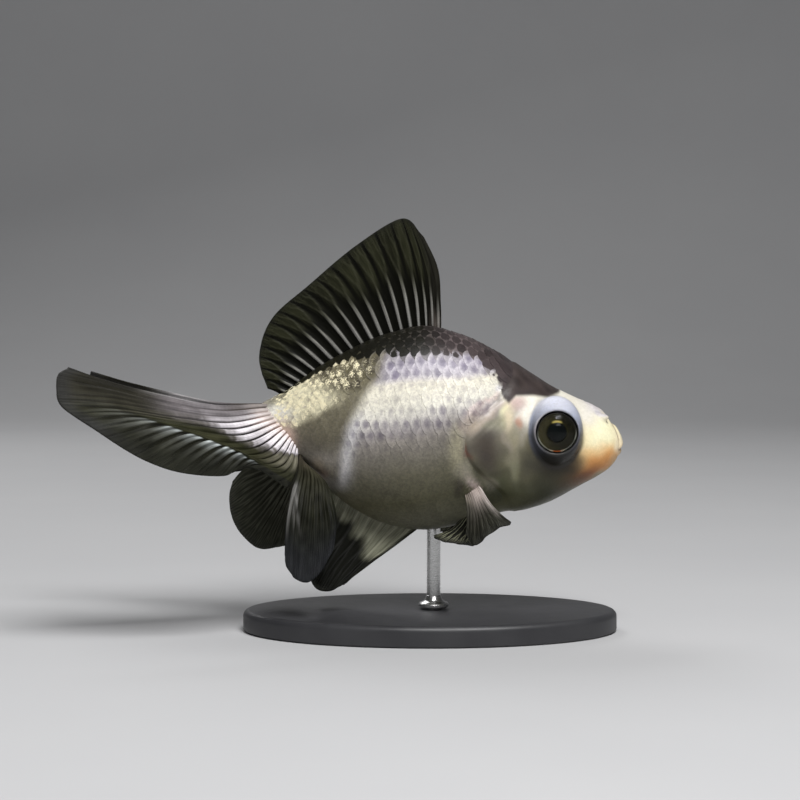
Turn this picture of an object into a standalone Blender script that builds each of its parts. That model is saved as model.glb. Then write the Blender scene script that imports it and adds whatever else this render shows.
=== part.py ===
"""Young fancy goldfish with a butterfly tail: a still, life-size model on a plain display stand.

The fish faces +X, its right side is -Y and +Z is up. The origin is at the middle of the stand's
underside. Lengths are in millimetres up to the point where a mesh is made, and in metres from there.
Heights on the fish are measured from its own level, which lies BODY_LIFT above the origin.

The body is one smooth form, lofted from a short table of stations and parted by thin cuts into
head, jaw, gill covers, trunk and tail stalk. Each fin is a sheet spanned by a few guide rays.
"""
import math

import bmesh
import bpy
import numpy as np
from mathutils import Matrix, Vector

MM = 0.001
BODY_LIFT = 32.0
GAP = 0.3
RIGHT, LEFT = -1, 1
SIDES = (("right", RIGHT), ("left", LEFT))
SHARP_ANGLE = math.radians(38)

# Body stations: x, top, bottom, half width and fullness of the section (2 is an ellipse).
BODY_STATIONS = np.array((
    (-27.0, 4.6, -1.0, 1.9, 2.0),
    (-23.5, 6.4, -2.7, 3.0, 2.0),
    (-20.0, 8.9, -5.3, 4.5, 2.0),
    (-16.0, 11.5, -9.7, 6.7, 2.0),
    (-12.0, 13.6, -12.8, 8.7, 2.0),
    (-7.0, 15.7, -15.1, 10.5, 2.0),
    (-1.0, 17.0, -16.0, 11.6, 2.0),
    (5.0, 15.6, -15.1, 11.7, 2.05),
    (11.0, 12.7, -13.3, 10.9, 2.15),
    (16.0, 9.5, -12.3, 9.6, 2.25),
    (20.0, 7.0, -10.8, 8.4, 2.3),
    (24.0, 5.1, -8.6, 7.1, 2.3),
    (27.0, 3.7, -7.0, 5.8, 2.2),
    (29.2, 1.3, -5.3, 4.0, 2.1),
    (30.7, -1.9, -1.9, 0.0, 2.0),
))
TAIL_END = BODY_STATIONS[0, 0]
SNOUT_TIP = BODY_STATIONS[-1, 0]
SNOUT_START = 26.0
WAIST_DROP = 0.05
TRUNK_ROWS, SNOUT_ROWS, ROUND_SEGMENTS = 26, 8, 26

# Thin cuts through the body.
STALK_CUT_X = -18.5
GILL_CUT_X, GILL_BULGE, GILL_LEVEL, GILL_POWER = 13.5, 8.0, -1.0, 2.6
GILL_REACH_UP, GILL_REACH_DOWN = 6.2, 7.4
COVER_FRONT_X, COVER_FRONT_CURVE = 13.3, 0.02
COVER_TOP, COVER_BOTTOM, COVER_THICKNESS = 5.6, -10.2, 1.2
MOUTH_LEVEL, MOUTH_CORNER, JAW_REAR = -2.9, (27.8, -3.3), (25.2, -9.5)
JAW_CENTRE, JAW_SIZE = (28.6, 0.0, -3.6), (3.8, 3.1, 4.4)
REGION_REACH = 40.0
CUT_STEPS = 28

# Eyes: the axis leaves the middle of the head and points sideways, a little up and forward.
EYE_ROOT = (19.6, 0.0, 0.6)
EYE_AXIS = (0.04, 1.0, 0.03)
EYE_SEGMENTS = 16
RIM_OUTSIDE = (
    # distance along the axis, radius, height over width
    (4.0, 4.2, 1.30),
    (7.0, 4.25, 1.30),
    (8.8, 4.2, 1.28),
    (10.0, 4.0, 1.20),
    (10.7, 3.75, 1.10),
    (10.95, 3.5, 1.03),
)
RIM_CREST = (10.8, 3.2, 1.0)
EYE_BALL_CENTRE, EYE_BALL_RADIUS, EYE_BALL_DEPTH = 9.1, 3.2, 2.75
EYE_ROWS = 10

# Nostril flaps on the snout.
NOSTRIL_X, NOSTRIL_ANGLE = 27.1, math.radians(52)
NOSTRIL_SIZE = (1.15, 0.75, 0.8)

# Guide rays of the fins, root to tip, as points (x, y, z) on the fish. Paired fins: the right side.
DORSAL_RAYS = (
    ((1.8, 0.0, 15.0), (1.7, 0.0, 20.6), (1.2, 0.0, 26.2), (-1.6, 0.0, 32.2)),
    ((-1.2, 0.0, 15.2), (-1.8, 0.0, 22.0), (-3.1, 0.0, 28.4), (-4.8, 0.0, 33.9)),
    ((-5.4, 0.0, 14.6), (-7.5, 0.0, 21.0), (-9.8, 0.0, 26.3), (-11.9, 0.0, 29.6)),
    ((-10.3, 0.0, 13.2), (-13.6, 0.0, 18.1), (-16.8, 0.0, 21.8), (-19.2, 0.0, 23.5)),
    ((-15.2, 0.0, 10.7), (-19.0, 0.0, 14.4), (-22.3, 0.0, 16.8), (-25.2, 0.0, 18.1)),
    ((-19.4, 0.0, 8.1), (-22.4, 0.0, 10.0), (-25.0, 0.0, 11.4), (-27.3, 0.0, 12.2)),
    ((-22.6, 0.0, 5.6), (-23.8, 0.0, 5.9), (-25.0, 0.0, 6.5), (-26.2, 0.0, 6.9)),
)
TAIL_UPPER_RIGHT = (
    ((-26.5, -1.0, 4.3), (-33.9, -4.5, 4.4), (-42.1, -8.5, 6.4), (-49.9, -12.3, 8.7), (-57.2, -15.0, 11.3)),
    ((-25.8, -1.5, 3.3), (-32.7, -7.0, 3.0), (-41.1, -12.0, 4.5), (-49.0, -16.5, 6.6), (-56.7, -20.0, 7.7)),
    ((-25.2, -2.0, 2.4), (-31.5, -8.8, 1.6), (-39.1, -14.2, 2.8), (-47.4, -18.5, 4.5), (-55.3, -21.3, 4.9)),
    ((-24.5, -2.4, 1.5), (-29.7, -9.8, 0.1), (-35.6, -15.0, 1.0), (-42.2, -19.3, 2.2), (-49.4, -21.8, 0.7)),
    ((-23.9, -2.7, 0.5), (-27.5, -10.2, -1.3), (-31.8, -14.8, -1.3), (-36.2, -18.6, 0.4), (-43.1, -21.0, -3.1)),
    ((-23.1, -2.9, -0.4), (-25.5, -10.0, -2.6), (-28.7, -13.8, -2.9), (-32.1, -17.2, -1.4), (-37.7, -19.2, -5.1)),
    ((-22.4, -3.0, -1.4), (-23.8, -9.2, -3.6), (-26.3, -12.2, -4.1), (-28.7, -15.0, -3.0), (-31.4, -16.8, -5.7)),
    ((-21.8, -3.0, -2.3), (-22.4, -7.8, -4.5), (-23.9, -10.2, -5.4), (-25.8, -12.2, -4.9), (-27.8, -13.4, -4.6)),
    ((-21.3, -3.0, -3.3), (-21.0, -6.0, -5.1), (-21.4, -8.0, -6.7), (-22.0, -9.2, -7.7), (-22.4, -9.8, -8.4)),
)
FAR_LOBE_DROP, FAR_LOBE_SWING = 0.16, 0.0025
TAIL_LOWER_RIGHT = (
    ((-21.0, -2.6, -4.1), (-20.9, -4.8, -6.3), (-21.8, -7.4, -9.1), (-22.6, -9.8, -13.9), (-22.7, -11.0, -19.7)),
    ((-20.7, -2.4, -4.4), (-19.8, -5.0, -6.6), (-20.3, -8.8, -10.5), (-21.0, -11.0, -15.9), (-21.2, -12.4, -22.0)),
    ((-20.4, -2.2, -4.8), (-18.5, -5.0, -6.9), (-18.3, -8.6, -10.7), (-18.5, -11.0, -16.2), (-18.8, -12.3, -22.6)),
    ((-20.1, -1.9, -5.3), (-17.5, -4.8, -7.4), (-16.6, -7.8, -10.8), (-16.0, -9.8, -15.4), (-16.3, -11.0, -20.0)),
    ((-19.6, -1.5, -5.8), (-16.7, -4.4, -8.1), (-15.3, -6.8, -10.7), (-14.8, -8.4, -13.4), (-15.0, -9.0, -16.5)),
)
TAIL_LOWER_LEFT = (
    ((-21.2, 2.3, -4.7), (-25.7, 6.7, -5.5), (-30.0, 9.2, -6.5), (-32.8, 10.2, -9.4)),
    ((-20.9, 2.2, -5.1), (-25.2, 7.2, -8.6), (-30.2, 9.8, -13.0), (-32.7, 10.8, -14.6)),
    ((-20.8, 2.1, -5.3), (-23.8, 7.0, -10.9), (-27.5, 9.5, -16.9), (-29.3, 10.4, -19.5)),
    ((-20.4, 1.8, -5.7), (-22.4, 6.4, -11.7), (-24.5, 8.6, -17.7), (-25.4, 9.6, -19.9)),
    ((-20.1, 1.4, -6.0), (-21.1, 5.4, -11.6), (-21.8, 7.5, -16.7), (-22.2, 8.5, -18.7)),
)
ANAL_RAYS = (
    ((-2.2, -0.9, -15.8), (-5.8, -2.0, -18.4), (-9.6, -3.2, -21.0), (-13.1, -4.2, -23.4)),
    ((-5.9, -0.9, -14.0), (-9.4, -2.2, -18.1), (-12.8, -3.6, -21.9), (-15.3, -4.6, -24.9)),
    ((-9.8, -0.9, -11.9), (-12.6, -2.0, -16.8), (-15.8, -3.2, -21.0), (-18.0, -4.0, -24.9)),
    ((-13.4, -0.9, -9.5), (-15.2, -1.6, -13.9), (-17.4, -2.4, -18.2), (-19.6, -3.0, -22.0)),
    ((-16.6, -0.9, -7.4), (-17.3, -1.3, -10.9), (-18.7, -1.8, -14.2), (-20.3, -2.2, -17.4)),
)
PELVIC_RAYS = (
    ((7.6, -4.9, -12.2), (7.6, -6.2, -14.8), (7.4, -7.0, -16.4), (7.0, -7.6, -17.6)),
    ((7.1, -4.9, -12.3), (6.3, -6.4, -14.9), (5.3, -7.0, -16.5), (4.5, -7.4, -17.3)),
    ((6.6, -4.7, -12.4), (4.7, -6.0, -14.8), (3.1, -6.6, -16.1), (1.8, -6.8, -16.9)),
    ((6.2, -4.4, -12.5), (3.8, -5.0, -14.8), (1.9, -5.3, -15.8), (0.3, -5.4, -16.3)),
)
PECTORAL_RAYS = (
    ((7.3, -8.8, -7.4), (9.1, -12.3, -10.2), (10.9, -14.3, -12.0), (12.5, -15.8, -13.1)),
    ((6.9, -8.8, -7.8), (8.5, -12.6, -10.9), (9.7, -14.5, -12.7), (10.4, -15.4, -13.9)),
    ((6.3, -8.7, -8.2), (7.6, -12.4, -11.6), (8.1, -14.0, -13.6), (8.5, -14.6, -15.3)),
    ((5.8, -8.5, -8.6), (6.7, -11.9, -12.1), (6.8, -13.0, -14.7), (6.8, -13.3, -16.8)),
    ((5.3, -8.3, -8.9), (5.6, -11.0, -11.5), (5.6, -11.8, -13.7), (5.4, -12.0, -15.4)),
)
TIP_THICKNESS = 0.55
ROOT_THICKNESS = {"dorsal": 1.5, "tail": 1.0, "paired": 0.9}
THINNING = 0.6

# Display stand.
BASE_LENGTH, BASE_WIDTH, BASE_HEIGHT = 60.0, 38.0, 3.4
BASE_CORNERS, BASE_TOP_BEVEL, BASE_FOOT_BEVEL = 36, 0.9, 0.3
ROD_X, ROD_RADIUS, ROD_COLLAR_RADIUS, ROD_COLLAR_HEIGHT = 0.6, 1.1, 2.4, 1.0
ROD_SOCKET_DEPTH, ROD_BODY_DEPTH, ROD_SEGMENTS = 2.2, 4.0, 16


def clear_scene():
    """Take away whatever the file opened with."""
    for item in list(bpy.data.objects):
        bpy.data.objects.remove(item, do_unlink=True)


def finish(name, colour, roughness, metallic=0.0):
    """A plain Principled finish."""
    material = bpy.data.materials.new(name)
    material.use_nodes = True
    shader = material.node_tree.nodes["Principled BSDF"]
    shader.inputs["Base Color"].default_value = (*colour, 1.0)
    shader.inputs["Roughness"].default_value = roughness
    shader.inputs["Metallic"].default_value = metallic
    return material


def fish_point(point):
    """A point on the fish, in millimetres, as a vector in metres above the stand's underside."""
    return Vector((point[0], point[1], point[2] + BODY_LIFT)) * MM


def new_object(name, mesh_data, material=None):
    """Turn closed mesh data into an object whose faces point outwards."""
    bmesh.ops.recalc_face_normals(mesh_data, faces=mesh_data.faces)
    mesh = bpy.data.meshes.new(name)
    mesh_data.to_mesh(mesh)
    mesh_data.free()
    item = bpy.data.objects.new(name, mesh)
    bpy.context.collection.objects.link(item)
    if material:
        mesh.materials.append(material)
        mesh.shade_smooth()
        mesh.set_sharp_from_angle(angle=SHARP_ANGLE)
    return item


def as_cutter(item):
    """Keep an object as a guide that other objects are cut with."""
    item.hide_render = True
    item.display_type = "WIRE"
    return item


def cut(item, operation, *cutters):
    """Add one Boolean for each cutter."""
    for cutter in cutters:
        modifier = item.modifiers.new(cutter.name, "BOOLEAN")
        modifier.operation = operation
        modifier.solver = "EXACT"
        modifier.object = cutter
    return item


def smooth_profile(column, x, squared=False):
    """Monotone cubic through one column of the body table, so no part swells between stations."""
    xs = BODY_STATIONS[:, 0]
    ys = column ** 2 if squared else column
    steps = np.diff(xs)
    rises = np.diff(ys) / steps
    slopes = np.concatenate(([rises[0]], np.zeros(len(xs) - 2), [rises[-1]]))
    for i in range(1, len(xs) - 1):
        if rises[i - 1] * rises[i] > 0:
            slopes[i] = 2 * rises[i - 1] * rises[i] / (rises[i - 1] + rises[i])
    span = int(np.clip(np.searchsorted(xs, x) - 1, 0, len(xs) - 2))
    t = (x - xs[span]) / steps[span]
    value = ((1 + 2 * t) * (1 - t) ** 2 * ys[span] + t * t * (3 - 2 * t) * ys[span + 1]
             + steps[span] * (t * (1 - t) ** 2 * slopes[span] - t * t * (1 - t) * slopes[span + 1]))
    return math.sqrt(max(value, 0.0)) if squared else value


def body_point(x, angle):
    """Point of the body at x; the angle runs from 0 at the left side up over the back."""
    top, bottom = BODY_STATIONS[:, 1], BODY_STATIONS[:, 2]
    middle = smooth_profile((top + bottom) / 2, x)
    half_height = smooth_profile((top - bottom) / 2, x, squared=True)
    half_width = smooth_profile(BODY_STATIONS[:, 3], x, squared=True)
    power = 2 / smooth_profile(BODY_STATIONS[:, 4], x)
    waist = middle - WAIST_DROP * half_height
    reach = half_height + math.copysign(WAIST_DROP * half_height, math.sin(angle))
    across = math.copysign(abs(math.cos(angle)) ** power, math.cos(angle))
    upward = math.copysign(abs(math.sin(angle)) ** power, math.sin(angle))
    return (x, half_width * across, waist + reach * upward)


def body_rows():
    """Positions of the body's sections, which crowd together towards the snout."""
    trunk = np.linspace(TAIL_END, SNOUT_START, TRUNK_ROWS)
    turns = np.linspace(0.0, math.pi / 2, SNOUT_ROWS + 1)[1:-1]
    return list(trunk) + [SNOUT_START + (SNOUT_TIP - SNOUT_START) * math.sin(turn) for turn in turns]


def loft(rings, first_tip, last_tip):
    """Closed mesh data through rings of equal counts, drawn together to a point at each end."""
    data = bmesh.new()
    rows = [[data.verts.new(point) for point in ring] for ring in rings]
    for row, following in zip(rows, rows[1:]):
        for i, corner in enumerate(row):
            j = (i + 1) % len(row)
            data.faces.new((corner, row[j], following[j], following[i]))
    for row, tip in ((rows[0], first_tip), (rows[-1], last_tip)):
        apex = data.verts.new(tip)
        for i, corner in enumerate(row):
            data.faces.new((corner, row[(i + 1) % len(row)], apex))
    return data


def body_data(growth=0.0):
    """The whole body from the tail stalk to the snout, grown or shrunk evenly by a distance."""
    angles = [2 * math.pi * i / ROUND_SEGMENTS for i in range(ROUND_SEGMENTS)]
    rings = [[fish_point(body_point(x, angle)) for angle in angles] for x in body_rows()]
    middle_of_end = (body_point(TAIL_END, 0.0)[0], 0.0, body_point(TAIL_END, 0.0)[2])
    data = loft(rings, fish_point(middle_of_end), fish_point(body_point(SNOUT_TIP, 0.0)))
    bmesh.ops.recalc_face_normals(data, faces=data.faces)
    data.normal_update()
    for corner in data.verts:
        corner.co += corner.normal * growth * MM
    return data


def prism(outline, y_from, y_to):
    """Closed mesh data of an outline in the XZ plane, drawn out along Y."""
    data = bmesh.new()
    corners = [data.verts.new(fish_point((x, y_from, z))) for x, z in outline]
    face = data.faces.new(corners)
    drawn = bmesh.ops.extrude_face_region(data, geom=[face])
    moved = [item for item in drawn["geom"] if isinstance(item, bmesh.types.BMVert)]
    bmesh.ops.translate(data, verts=moved, vec=Vector((0.0, (y_to - y_from) * MM, 0.0)))
    return data


def gill_cut_x(z):
    """The gill opening: a cut across the body that bulges back behind the gill covers."""
    reach = GILL_REACH_UP if z > GILL_LEVEL else GILL_REACH_DOWN
    return GILL_CUT_X - GILL_BULGE * math.exp(-(abs(z - GILL_LEVEL) / reach) ** GILL_POWER)


def gill_edge(shift, low=-REGION_REACH / 2, high=REGION_REACH / 2):
    """Points of the gill opening from low to high, moved forwards by a shift."""
    return [(gill_cut_x(z) + shift, z) for z in np.linspace(low, high, CUT_STEPS)]


def region(name, outline):
    """A cutter that reaches right across the fish."""
    return as_cutter(new_object(name, prism(outline, -REGION_REACH / 2, REGION_REACH / 2)))


def box_outline(low_x, high_x):
    """Outline of a block over the full height between two places along the fish."""
    reach = REGION_REACH / 2
    return [(low_x, -reach), (high_x, -reach), (high_x, reach), (low_x, reach)]


def jaw_outline(growth):
    """Outline of the lower jaw: under the mouth slit and ahead of the chin."""
    front = SNOUT_TIP + 2.0
    return [(front, MOUTH_LEVEL + growth), (MOUTH_CORNER[0] - growth, MOUTH_CORNER[1] + growth),
            (JAW_REAR[0] - growth, JAW_REAR[1]), (front, JAW_REAR[1])]


def oval(centre, size, growth, segments, rings):
    """Mesh data of an oval solid, grown evenly by a distance."""
    data = bmesh.new()
    bmesh.ops.create_uvsphere(data, u_segments=segments, v_segments=rings, radius=1.0)
    grown = Vector(size) + Vector((growth, growth, growth))
    bmesh.ops.scale(data, vec=grown * MM, verts=data.verts)
    bmesh.ops.translate(data, vec=fish_point(centre), verts=data.verts)
    return data


def jaw_cutter(name, growth):
    """The rounded chin: an oval, kept only below the mouth slit."""
    chin = as_cutter(new_object(name, oval(JAW_CENTRE, JAW_SIZE, growth, 20, 12)))
    return cut(chin, "INTERSECT", region(name + "_side", jaw_outline(growth)))


def cover_outline(growth):
    """Outline of a gill cover between the cheek and the gill opening."""
    low, high = COVER_BOTTOM - growth, COVER_TOP + growth
    heights = np.linspace(high, low, CUT_STEPS // 2)
    cheek = [(COVER_FRONT_X + COVER_FRONT_CURVE * (z - GILL_LEVEL) ** 2 + growth, z) for z in heights]
    return gill_edge(GAP / 2 - growth * 4, low, high) + cheek


def lathe(profile, axis_frame):
    """Closed mesh data turned round the eye axis from (distance, radius, height over width) rows."""
    rings = []
    for distance, radius, stretch in profile[1:-1]:
        ring = []
        for i in range(EYE_SEGMENTS):
            turn = 2 * math.pi * i / EYE_SEGMENTS
            local = Vector((radius * math.cos(turn), radius * stretch * math.sin(turn), distance))
            ring.append(fish_point(axis_frame @ local))
        rings.append(ring)
    ends = [fish_point(axis_frame @ Vector((0.0, 0.0, row[0]))) for row in (profile[0], profile[-1])]
    return loft(rings, *ends)


def eye_frame(side):
    """Frame of an eye: its third axis is the way the eye looks, its second points up."""
    look = Vector((EYE_AXIS[0], side * EYE_AXIS[1], EYE_AXIS[2])).normalized()
    upright = (Vector((0.0, 0.0, 1.0)) - look * look.z).normalized()
    across = upright.cross(look)
    turn = Matrix((across, upright, look)).transposed()
    return Matrix.Translation(Vector(EYE_ROOT)) @ turn.to_4x4()


def ball_profile(growth=0.0):
    """Rows of the eyeball, flattened along its axis, grown evenly by a distance."""
    rows = []
    for step in range(EYE_ROWS + 1):
        turn = math.pi * step / EYE_ROWS
        distance = EYE_BALL_CENTRE - (EYE_BALL_DEPTH + growth) * math.cos(turn)
        rows.append((distance, (EYE_BALL_RADIUS + growth) * math.sin(turn), 1.0))
    return rows


def rim_profile():
    """Rows of the fleshy bulb round the eye, from its back over the crest and into the eye's cup."""
    cup = [row for row in reversed(ball_profile(GAP)) if row[0] < RIM_CREST[0] - GAP]
    return [(RIM_OUTSIDE[0][0], 0.0, 1.0)] + list(RIM_OUTSIDE) + [RIM_CREST] + cup


def rim_plug_profile(growth):
    """Rows of the bulb as a full plug without its cup, grown evenly by a distance."""
    rows = [(RIM_OUTSIDE[0][0] - growth, 0.0, 1.0)]
    for distance, radius, stretch in RIM_OUTSIDE:
        shift = -growth if distance == RIM_OUTSIDE[0][0] else 0.0
        rows.append((distance + shift, radius + growth, stretch))
    return rows + [(RIM_OUTSIDE[-1][0] + 2 * growth, 0.0, 1.0)]


def nostril_data(side, growth=0.0):
    """Mesh data of a nostril flap, a small oval that lies half in the snout."""
    x, y, z = body_point(NOSTRIL_X, NOSTRIL_ANGLE)
    return oval((x, side * y, z), NOSTRIL_SIZE, growth, 10, 7)


def smooth_curve(points, t):
    """Point of a smooth curve through evenly spaced points, for t from 0 to 1."""
    points = np.asarray(points, dtype=float)
    last = len(points) - 1
    before_first = 2 * points[0] - points[1]
    after_last = 2 * points[-1] - points[-2]
    padded = np.concatenate(([before_first], points, [after_last]))
    span = min(int(t * last), last - 1)
    u = t * last - span
    before, start, end, after = padded[span:span + 4]
    return 0.5 * (2 * start + (end - before) * u
                  + (2 * before - 5 * start + 4 * end - after) * u ** 2
                  + (3 * start - before - 3 * end + after) * u ** 3)


def sheet_grid(rays, across_count, along_count):
    """Points of a fin's middle sheet, row by row from its first ray to its last."""
    grid = np.zeros((across_count, along_count, 3))
    for i in range(across_count):
        ray = smooth_curve(rays, i / (across_count - 1))
        for j in range(along_count):
            grid[i, j] = smooth_curve(ray, j / (along_count - 1))
    return grid


def fin_data(rays, root_thickness, across_count, along_count):
    """Closed mesh data of a fin: its sheet with a wall that thins towards the edge."""
    grid = sheet_grid(rays, across_count, along_count)
    normal = np.cross(np.gradient(grid, axis=0), np.gradient(grid, axis=1))
    normal /= np.linalg.norm(normal, axis=2, keepdims=True)
    outward = np.linspace(0.0, 1.0, along_count) ** THINNING
    wall = root_thickness + (TIP_THICKNESS - root_thickness) * outward
    offset = normal * wall[None, :, None] / 2
    data = bmesh.new()
    faces = []
    for layer in (grid + offset, grid - offset):
        corners = [[data.verts.new(fish_point(point)) for point in row] for row in layer]
        faces.append(corners)
        for i in range(across_count - 1):
            for j in range(along_count - 1):
                data.faces.new((corners[i][j], corners[i + 1][j],
                                corners[i + 1][j + 1], corners[i][j + 1]))
    upper, lower = (border(corners) for corners in faces)
    for i, corner in enumerate(upper):
        j = (i + 1) % len(upper)
        data.faces.new((corner, upper[j], lower[j], lower[i]))
    return data


def border(corners):
    """Outer ring of a grid of corners, in order."""
    first, last = corners[0], corners[-1]
    sides = [row[-1] for row in corners[1:-1]], [row[0] for row in corners[-2:0:-1]]
    return first + sides[0] + last[::-1] + sides[1]


def mirrored(rays):
    """The same guide rays on the other side of the fish."""
    return tuple(tuple((x, -y, z) for x, y, z in ray) for ray in rays)


def hanging(rays):
    """The upper lobe on the left side, which swings back and hangs lower the farther out it is."""
    root_y = rays[-1][0][1]
    return tuple(tuple((x - FAR_LOBE_SWING * y * y, -y, z + FAR_LOBE_DROP * min(y - root_y, 0.0))
                       for x, y, z in ray) for ray in rays)


def turned(profile, centre_x, segments):
    """Closed mesh data turned round an upright axis from (height above the floor, radius) rows."""
    rings = []
    for height, radius in profile:
        angles = [2 * math.pi * i / segments for i in range(segments)]
        rings.append([Vector((centre_x + radius * math.cos(a), radius * math.sin(a), height)) * MM
                      for a in angles])
    ends = [Vector((centre_x, 0.0, row[0])) * MM for row in (profile[0], profile[-1])]
    return loft(rings, *ends)


def make_body(skin, cover_skin):
    """Head, jaw, gill covers, trunk and tail stalk, cut from one body."""
    stalk_region = region("guide_stalk", box_outline(-REGION_REACH, STALK_CUT_X - GAP / 2))
    trunk_outline = [(STALK_CUT_X + GAP / 2, -REGION_REACH / 2)] + gill_edge(-GAP / 2)
    trunk_region = region("guide_trunk", trunk_outline + [(STALK_CUT_X + GAP / 2, REGION_REACH / 2)])
    head_outline = [(REGION_REACH, -REGION_REACH / 2), (REGION_REACH, REGION_REACH / 2)]
    head_region = region("guide_head", gill_edge(GAP / 2) + head_outline[::-1])
    jaw_region = jaw_cutter("guide_jaw", 0.0)
    jaw_recess = jaw_cutter("guide_jaw_recess", GAP)
    cut(new_object("tail_stalk", body_data(), skin), "INTERSECT", stalk_region)
    trunk = cut(new_object("trunk", body_data(), skin), "INTERSECT", trunk_region)
    head = cut(new_object("head", body_data(), skin), "INTERSECT", head_region)
    cut(new_object("lower_jaw", body_data(), skin), "INTERSECT", jaw_region)
    cut(head, "DIFFERENCE", jaw_recess)
    make_gill_covers(head, cover_skin)
    return head, trunk


def make_gill_covers(head, material):
    """A thin curved plate over each gill, and the shallow recess in the head behind it."""
    inner = as_cutter(new_object("guide_cover_inside", body_data(-COVER_THICKNESS)))
    floor = as_cutter(new_object("guide_recess_floor", body_data(-COVER_THICKNESS - GAP)))
    for name, side in SIDES:
        reach = side * REGION_REACH / 2
        plate = prism(cover_outline(0.0), 0.0, reach)
        plate_region = as_cutter(new_object("guide_cover_" + name, plate))
        recess = new_object("guide_recess_" + name, prism(cover_outline(GAP), 0.0, reach))
        cut(as_cutter(recess), "DIFFERENCE", floor)
        cover = new_object("gill_cover_" + name, body_data(), material)
        cut(cut(cover, "INTERSECT", plate_region), "DIFFERENCE", inner)
        cut(head, "DIFFERENCE", recess)


def make_eyes(head, bulb_skin, eye_finish):
    """An eyeball in its fleshy bulb on each side, and the socket in the head."""
    for name, side in SIDES:
        frame = eye_frame(side)
        socket = as_cutter(new_object("guide_socket_" + name, lathe(rim_plug_profile(GAP), frame)))
        cut(head, "DIFFERENCE", socket)
        new_object("eye_bulb_" + name, lathe(rim_profile(), frame), bulb_skin)
        new_object("eye_" + name, lathe(ball_profile(), frame), eye_finish)


def make_nostrils(head, material):
    """A soft flap over each nostril."""
    for name, side in SIDES:
        socket = as_cutter(new_object("guide_nostril_" + name, nostril_data(side, GAP)))
        cut(head, "DIFFERENCE", socket)
        new_object("nostril_" + name, nostril_data(side), material)


def make_fins(material):
    """All the fins, each trimmed to lie a hair's breadth off the body."""
    clearance = as_cutter(new_object("guide_body_clearance", body_data(GAP)))
    fins = (
        ("dorsal_fin", DORSAL_RAYS, "dorsal", 15, 7),
        ("tail_upper_right", TAIL_UPPER_RIGHT, "tail", 13, 9),
        ("tail_upper_left", hanging(TAIL_UPPER_RIGHT), "tail", 13, 9),
        ("tail_lower_right", TAIL_LOWER_RIGHT, "tail", 9, 8),
        ("tail_lower_left", TAIL_LOWER_LEFT, "tail", 9, 8),
        ("anal_fin_right", ANAL_RAYS, "paired", 7, 6),
        ("anal_fin_left", mirrored(ANAL_RAYS), "paired", 7, 6),
        ("pelvic_fin_right", PELVIC_RAYS, "paired", 7, 5),
        ("pelvic_fin_left", mirrored(PELVIC_RAYS), "paired", 7, 5),
        ("pectoral_fin_right", PECTORAL_RAYS, "paired", 8, 6),
        ("pectoral_fin_left", mirrored(PECTORAL_RAYS), "paired", 8, 6),
    )
    for name, rays, kind, across_count, along_count in fins:
        data = fin_data(rays, ROOT_THICKNESS[kind], across_count, along_count)
        cut(new_object(name, data, material), "DIFFERENCE", clearance)


def make_stand(trunk, base_finish, rod_finish):
    """A flat oval base and one short rod that runs up into the belly."""
    base = bmesh.new()
    bmesh.ops.create_circle(base, cap_ends=True, segments=BASE_CORNERS, radius=1.0)
    half = Vector((BASE_LENGTH / 2, BASE_WIDTH / 2, 1.0)) * MM
    bmesh.ops.scale(base, vec=half, verts=base.verts)
    raised = bmesh.ops.extrude_face_region(base, geom=list(base.faces))
    top = [item for item in raised["geom"] if isinstance(item, bmesh.types.BMVert)]
    bmesh.ops.translate(base, vec=Vector((0.0, 0.0, BASE_HEIGHT * MM)), verts=top)
    for level, width in ((BASE_HEIGHT, BASE_TOP_BEVEL), (0.0, BASE_FOOT_BEVEL)):
        rim = [edge for edge in base.edges
               if all(abs(corner.co.z - level * MM) < GAP * MM for corner in edge.verts)]
        bmesh.ops.bevel(base, geom=rim, offset=width * MM, segments=2, profile=0.5, affect="EDGES")
    plate = new_object("stand_base", base, base_finish)
    belly = BODY_LIFT + body_point(ROD_X, -math.pi / 2)[2]
    foot, top = BASE_HEIGHT - ROD_SOCKET_DEPTH, belly + ROD_BODY_DEPTH
    collar = BASE_HEIGHT + GAP
    rod = [(foot, ROD_RADIUS), (collar, ROD_RADIUS), (collar, ROD_COLLAR_RADIUS),
           (collar + ROD_COLLAR_HEIGHT / 2, ROD_COLLAR_RADIUS),
           (collar + ROD_COLLAR_HEIGHT, ROD_RADIUS + GAP), (collar + 2 * ROD_COLLAR_HEIGHT, ROD_RADIUS),
           (top, ROD_RADIUS)]
    new_object("stand_rod", turned(rod, ROD_X, ROD_SEGMENTS), rod_finish)
    for name, owner, low, high in (("guide_base_socket", plate, foot - GAP, collar + 1.0),
                                   ("guide_belly_socket", trunk, belly - 1.0, top + GAP)):
        hole = [(low, ROD_RADIUS + GAP), (high, ROD_RADIUS + GAP)]
        cut(owner, "DIFFERENCE", as_cutter(new_object(name, turned(hole, ROD_X, ROD_SEGMENTS))))


def main():
    clear_scene()
    skin = finish("pearly_skin", (0.62, 0.58, 0.56), 0.35)
    cover_skin = finish("cheek_skin", (0.55, 0.50, 0.42), 0.4)
    fin_skin = finish("fin_membrane", (0.12, 0.11, 0.10), 0.45)
    bulb_skin = finish("eye_bulb_skin", (0.66, 0.68, 0.74), 0.3)
    eye_finish = finish("eye_gloss", (0.02, 0.02, 0.02), 0.05)
    base_finish = finish("stand_paint", (0.10, 0.10, 0.11), 0.45)
    rod_finish = finish("stand_steel", (0.6, 0.6, 0.6), 0.3, 1.0)
    head, trunk = make_body(skin, cover_skin)
    make_eyes(head, bulb_skin, eye_finish)
    make_nostrils(head, bulb_skin)
    make_fins(fin_skin)
    make_stand(trunk, base_finish, rod_finish)


main()
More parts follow.
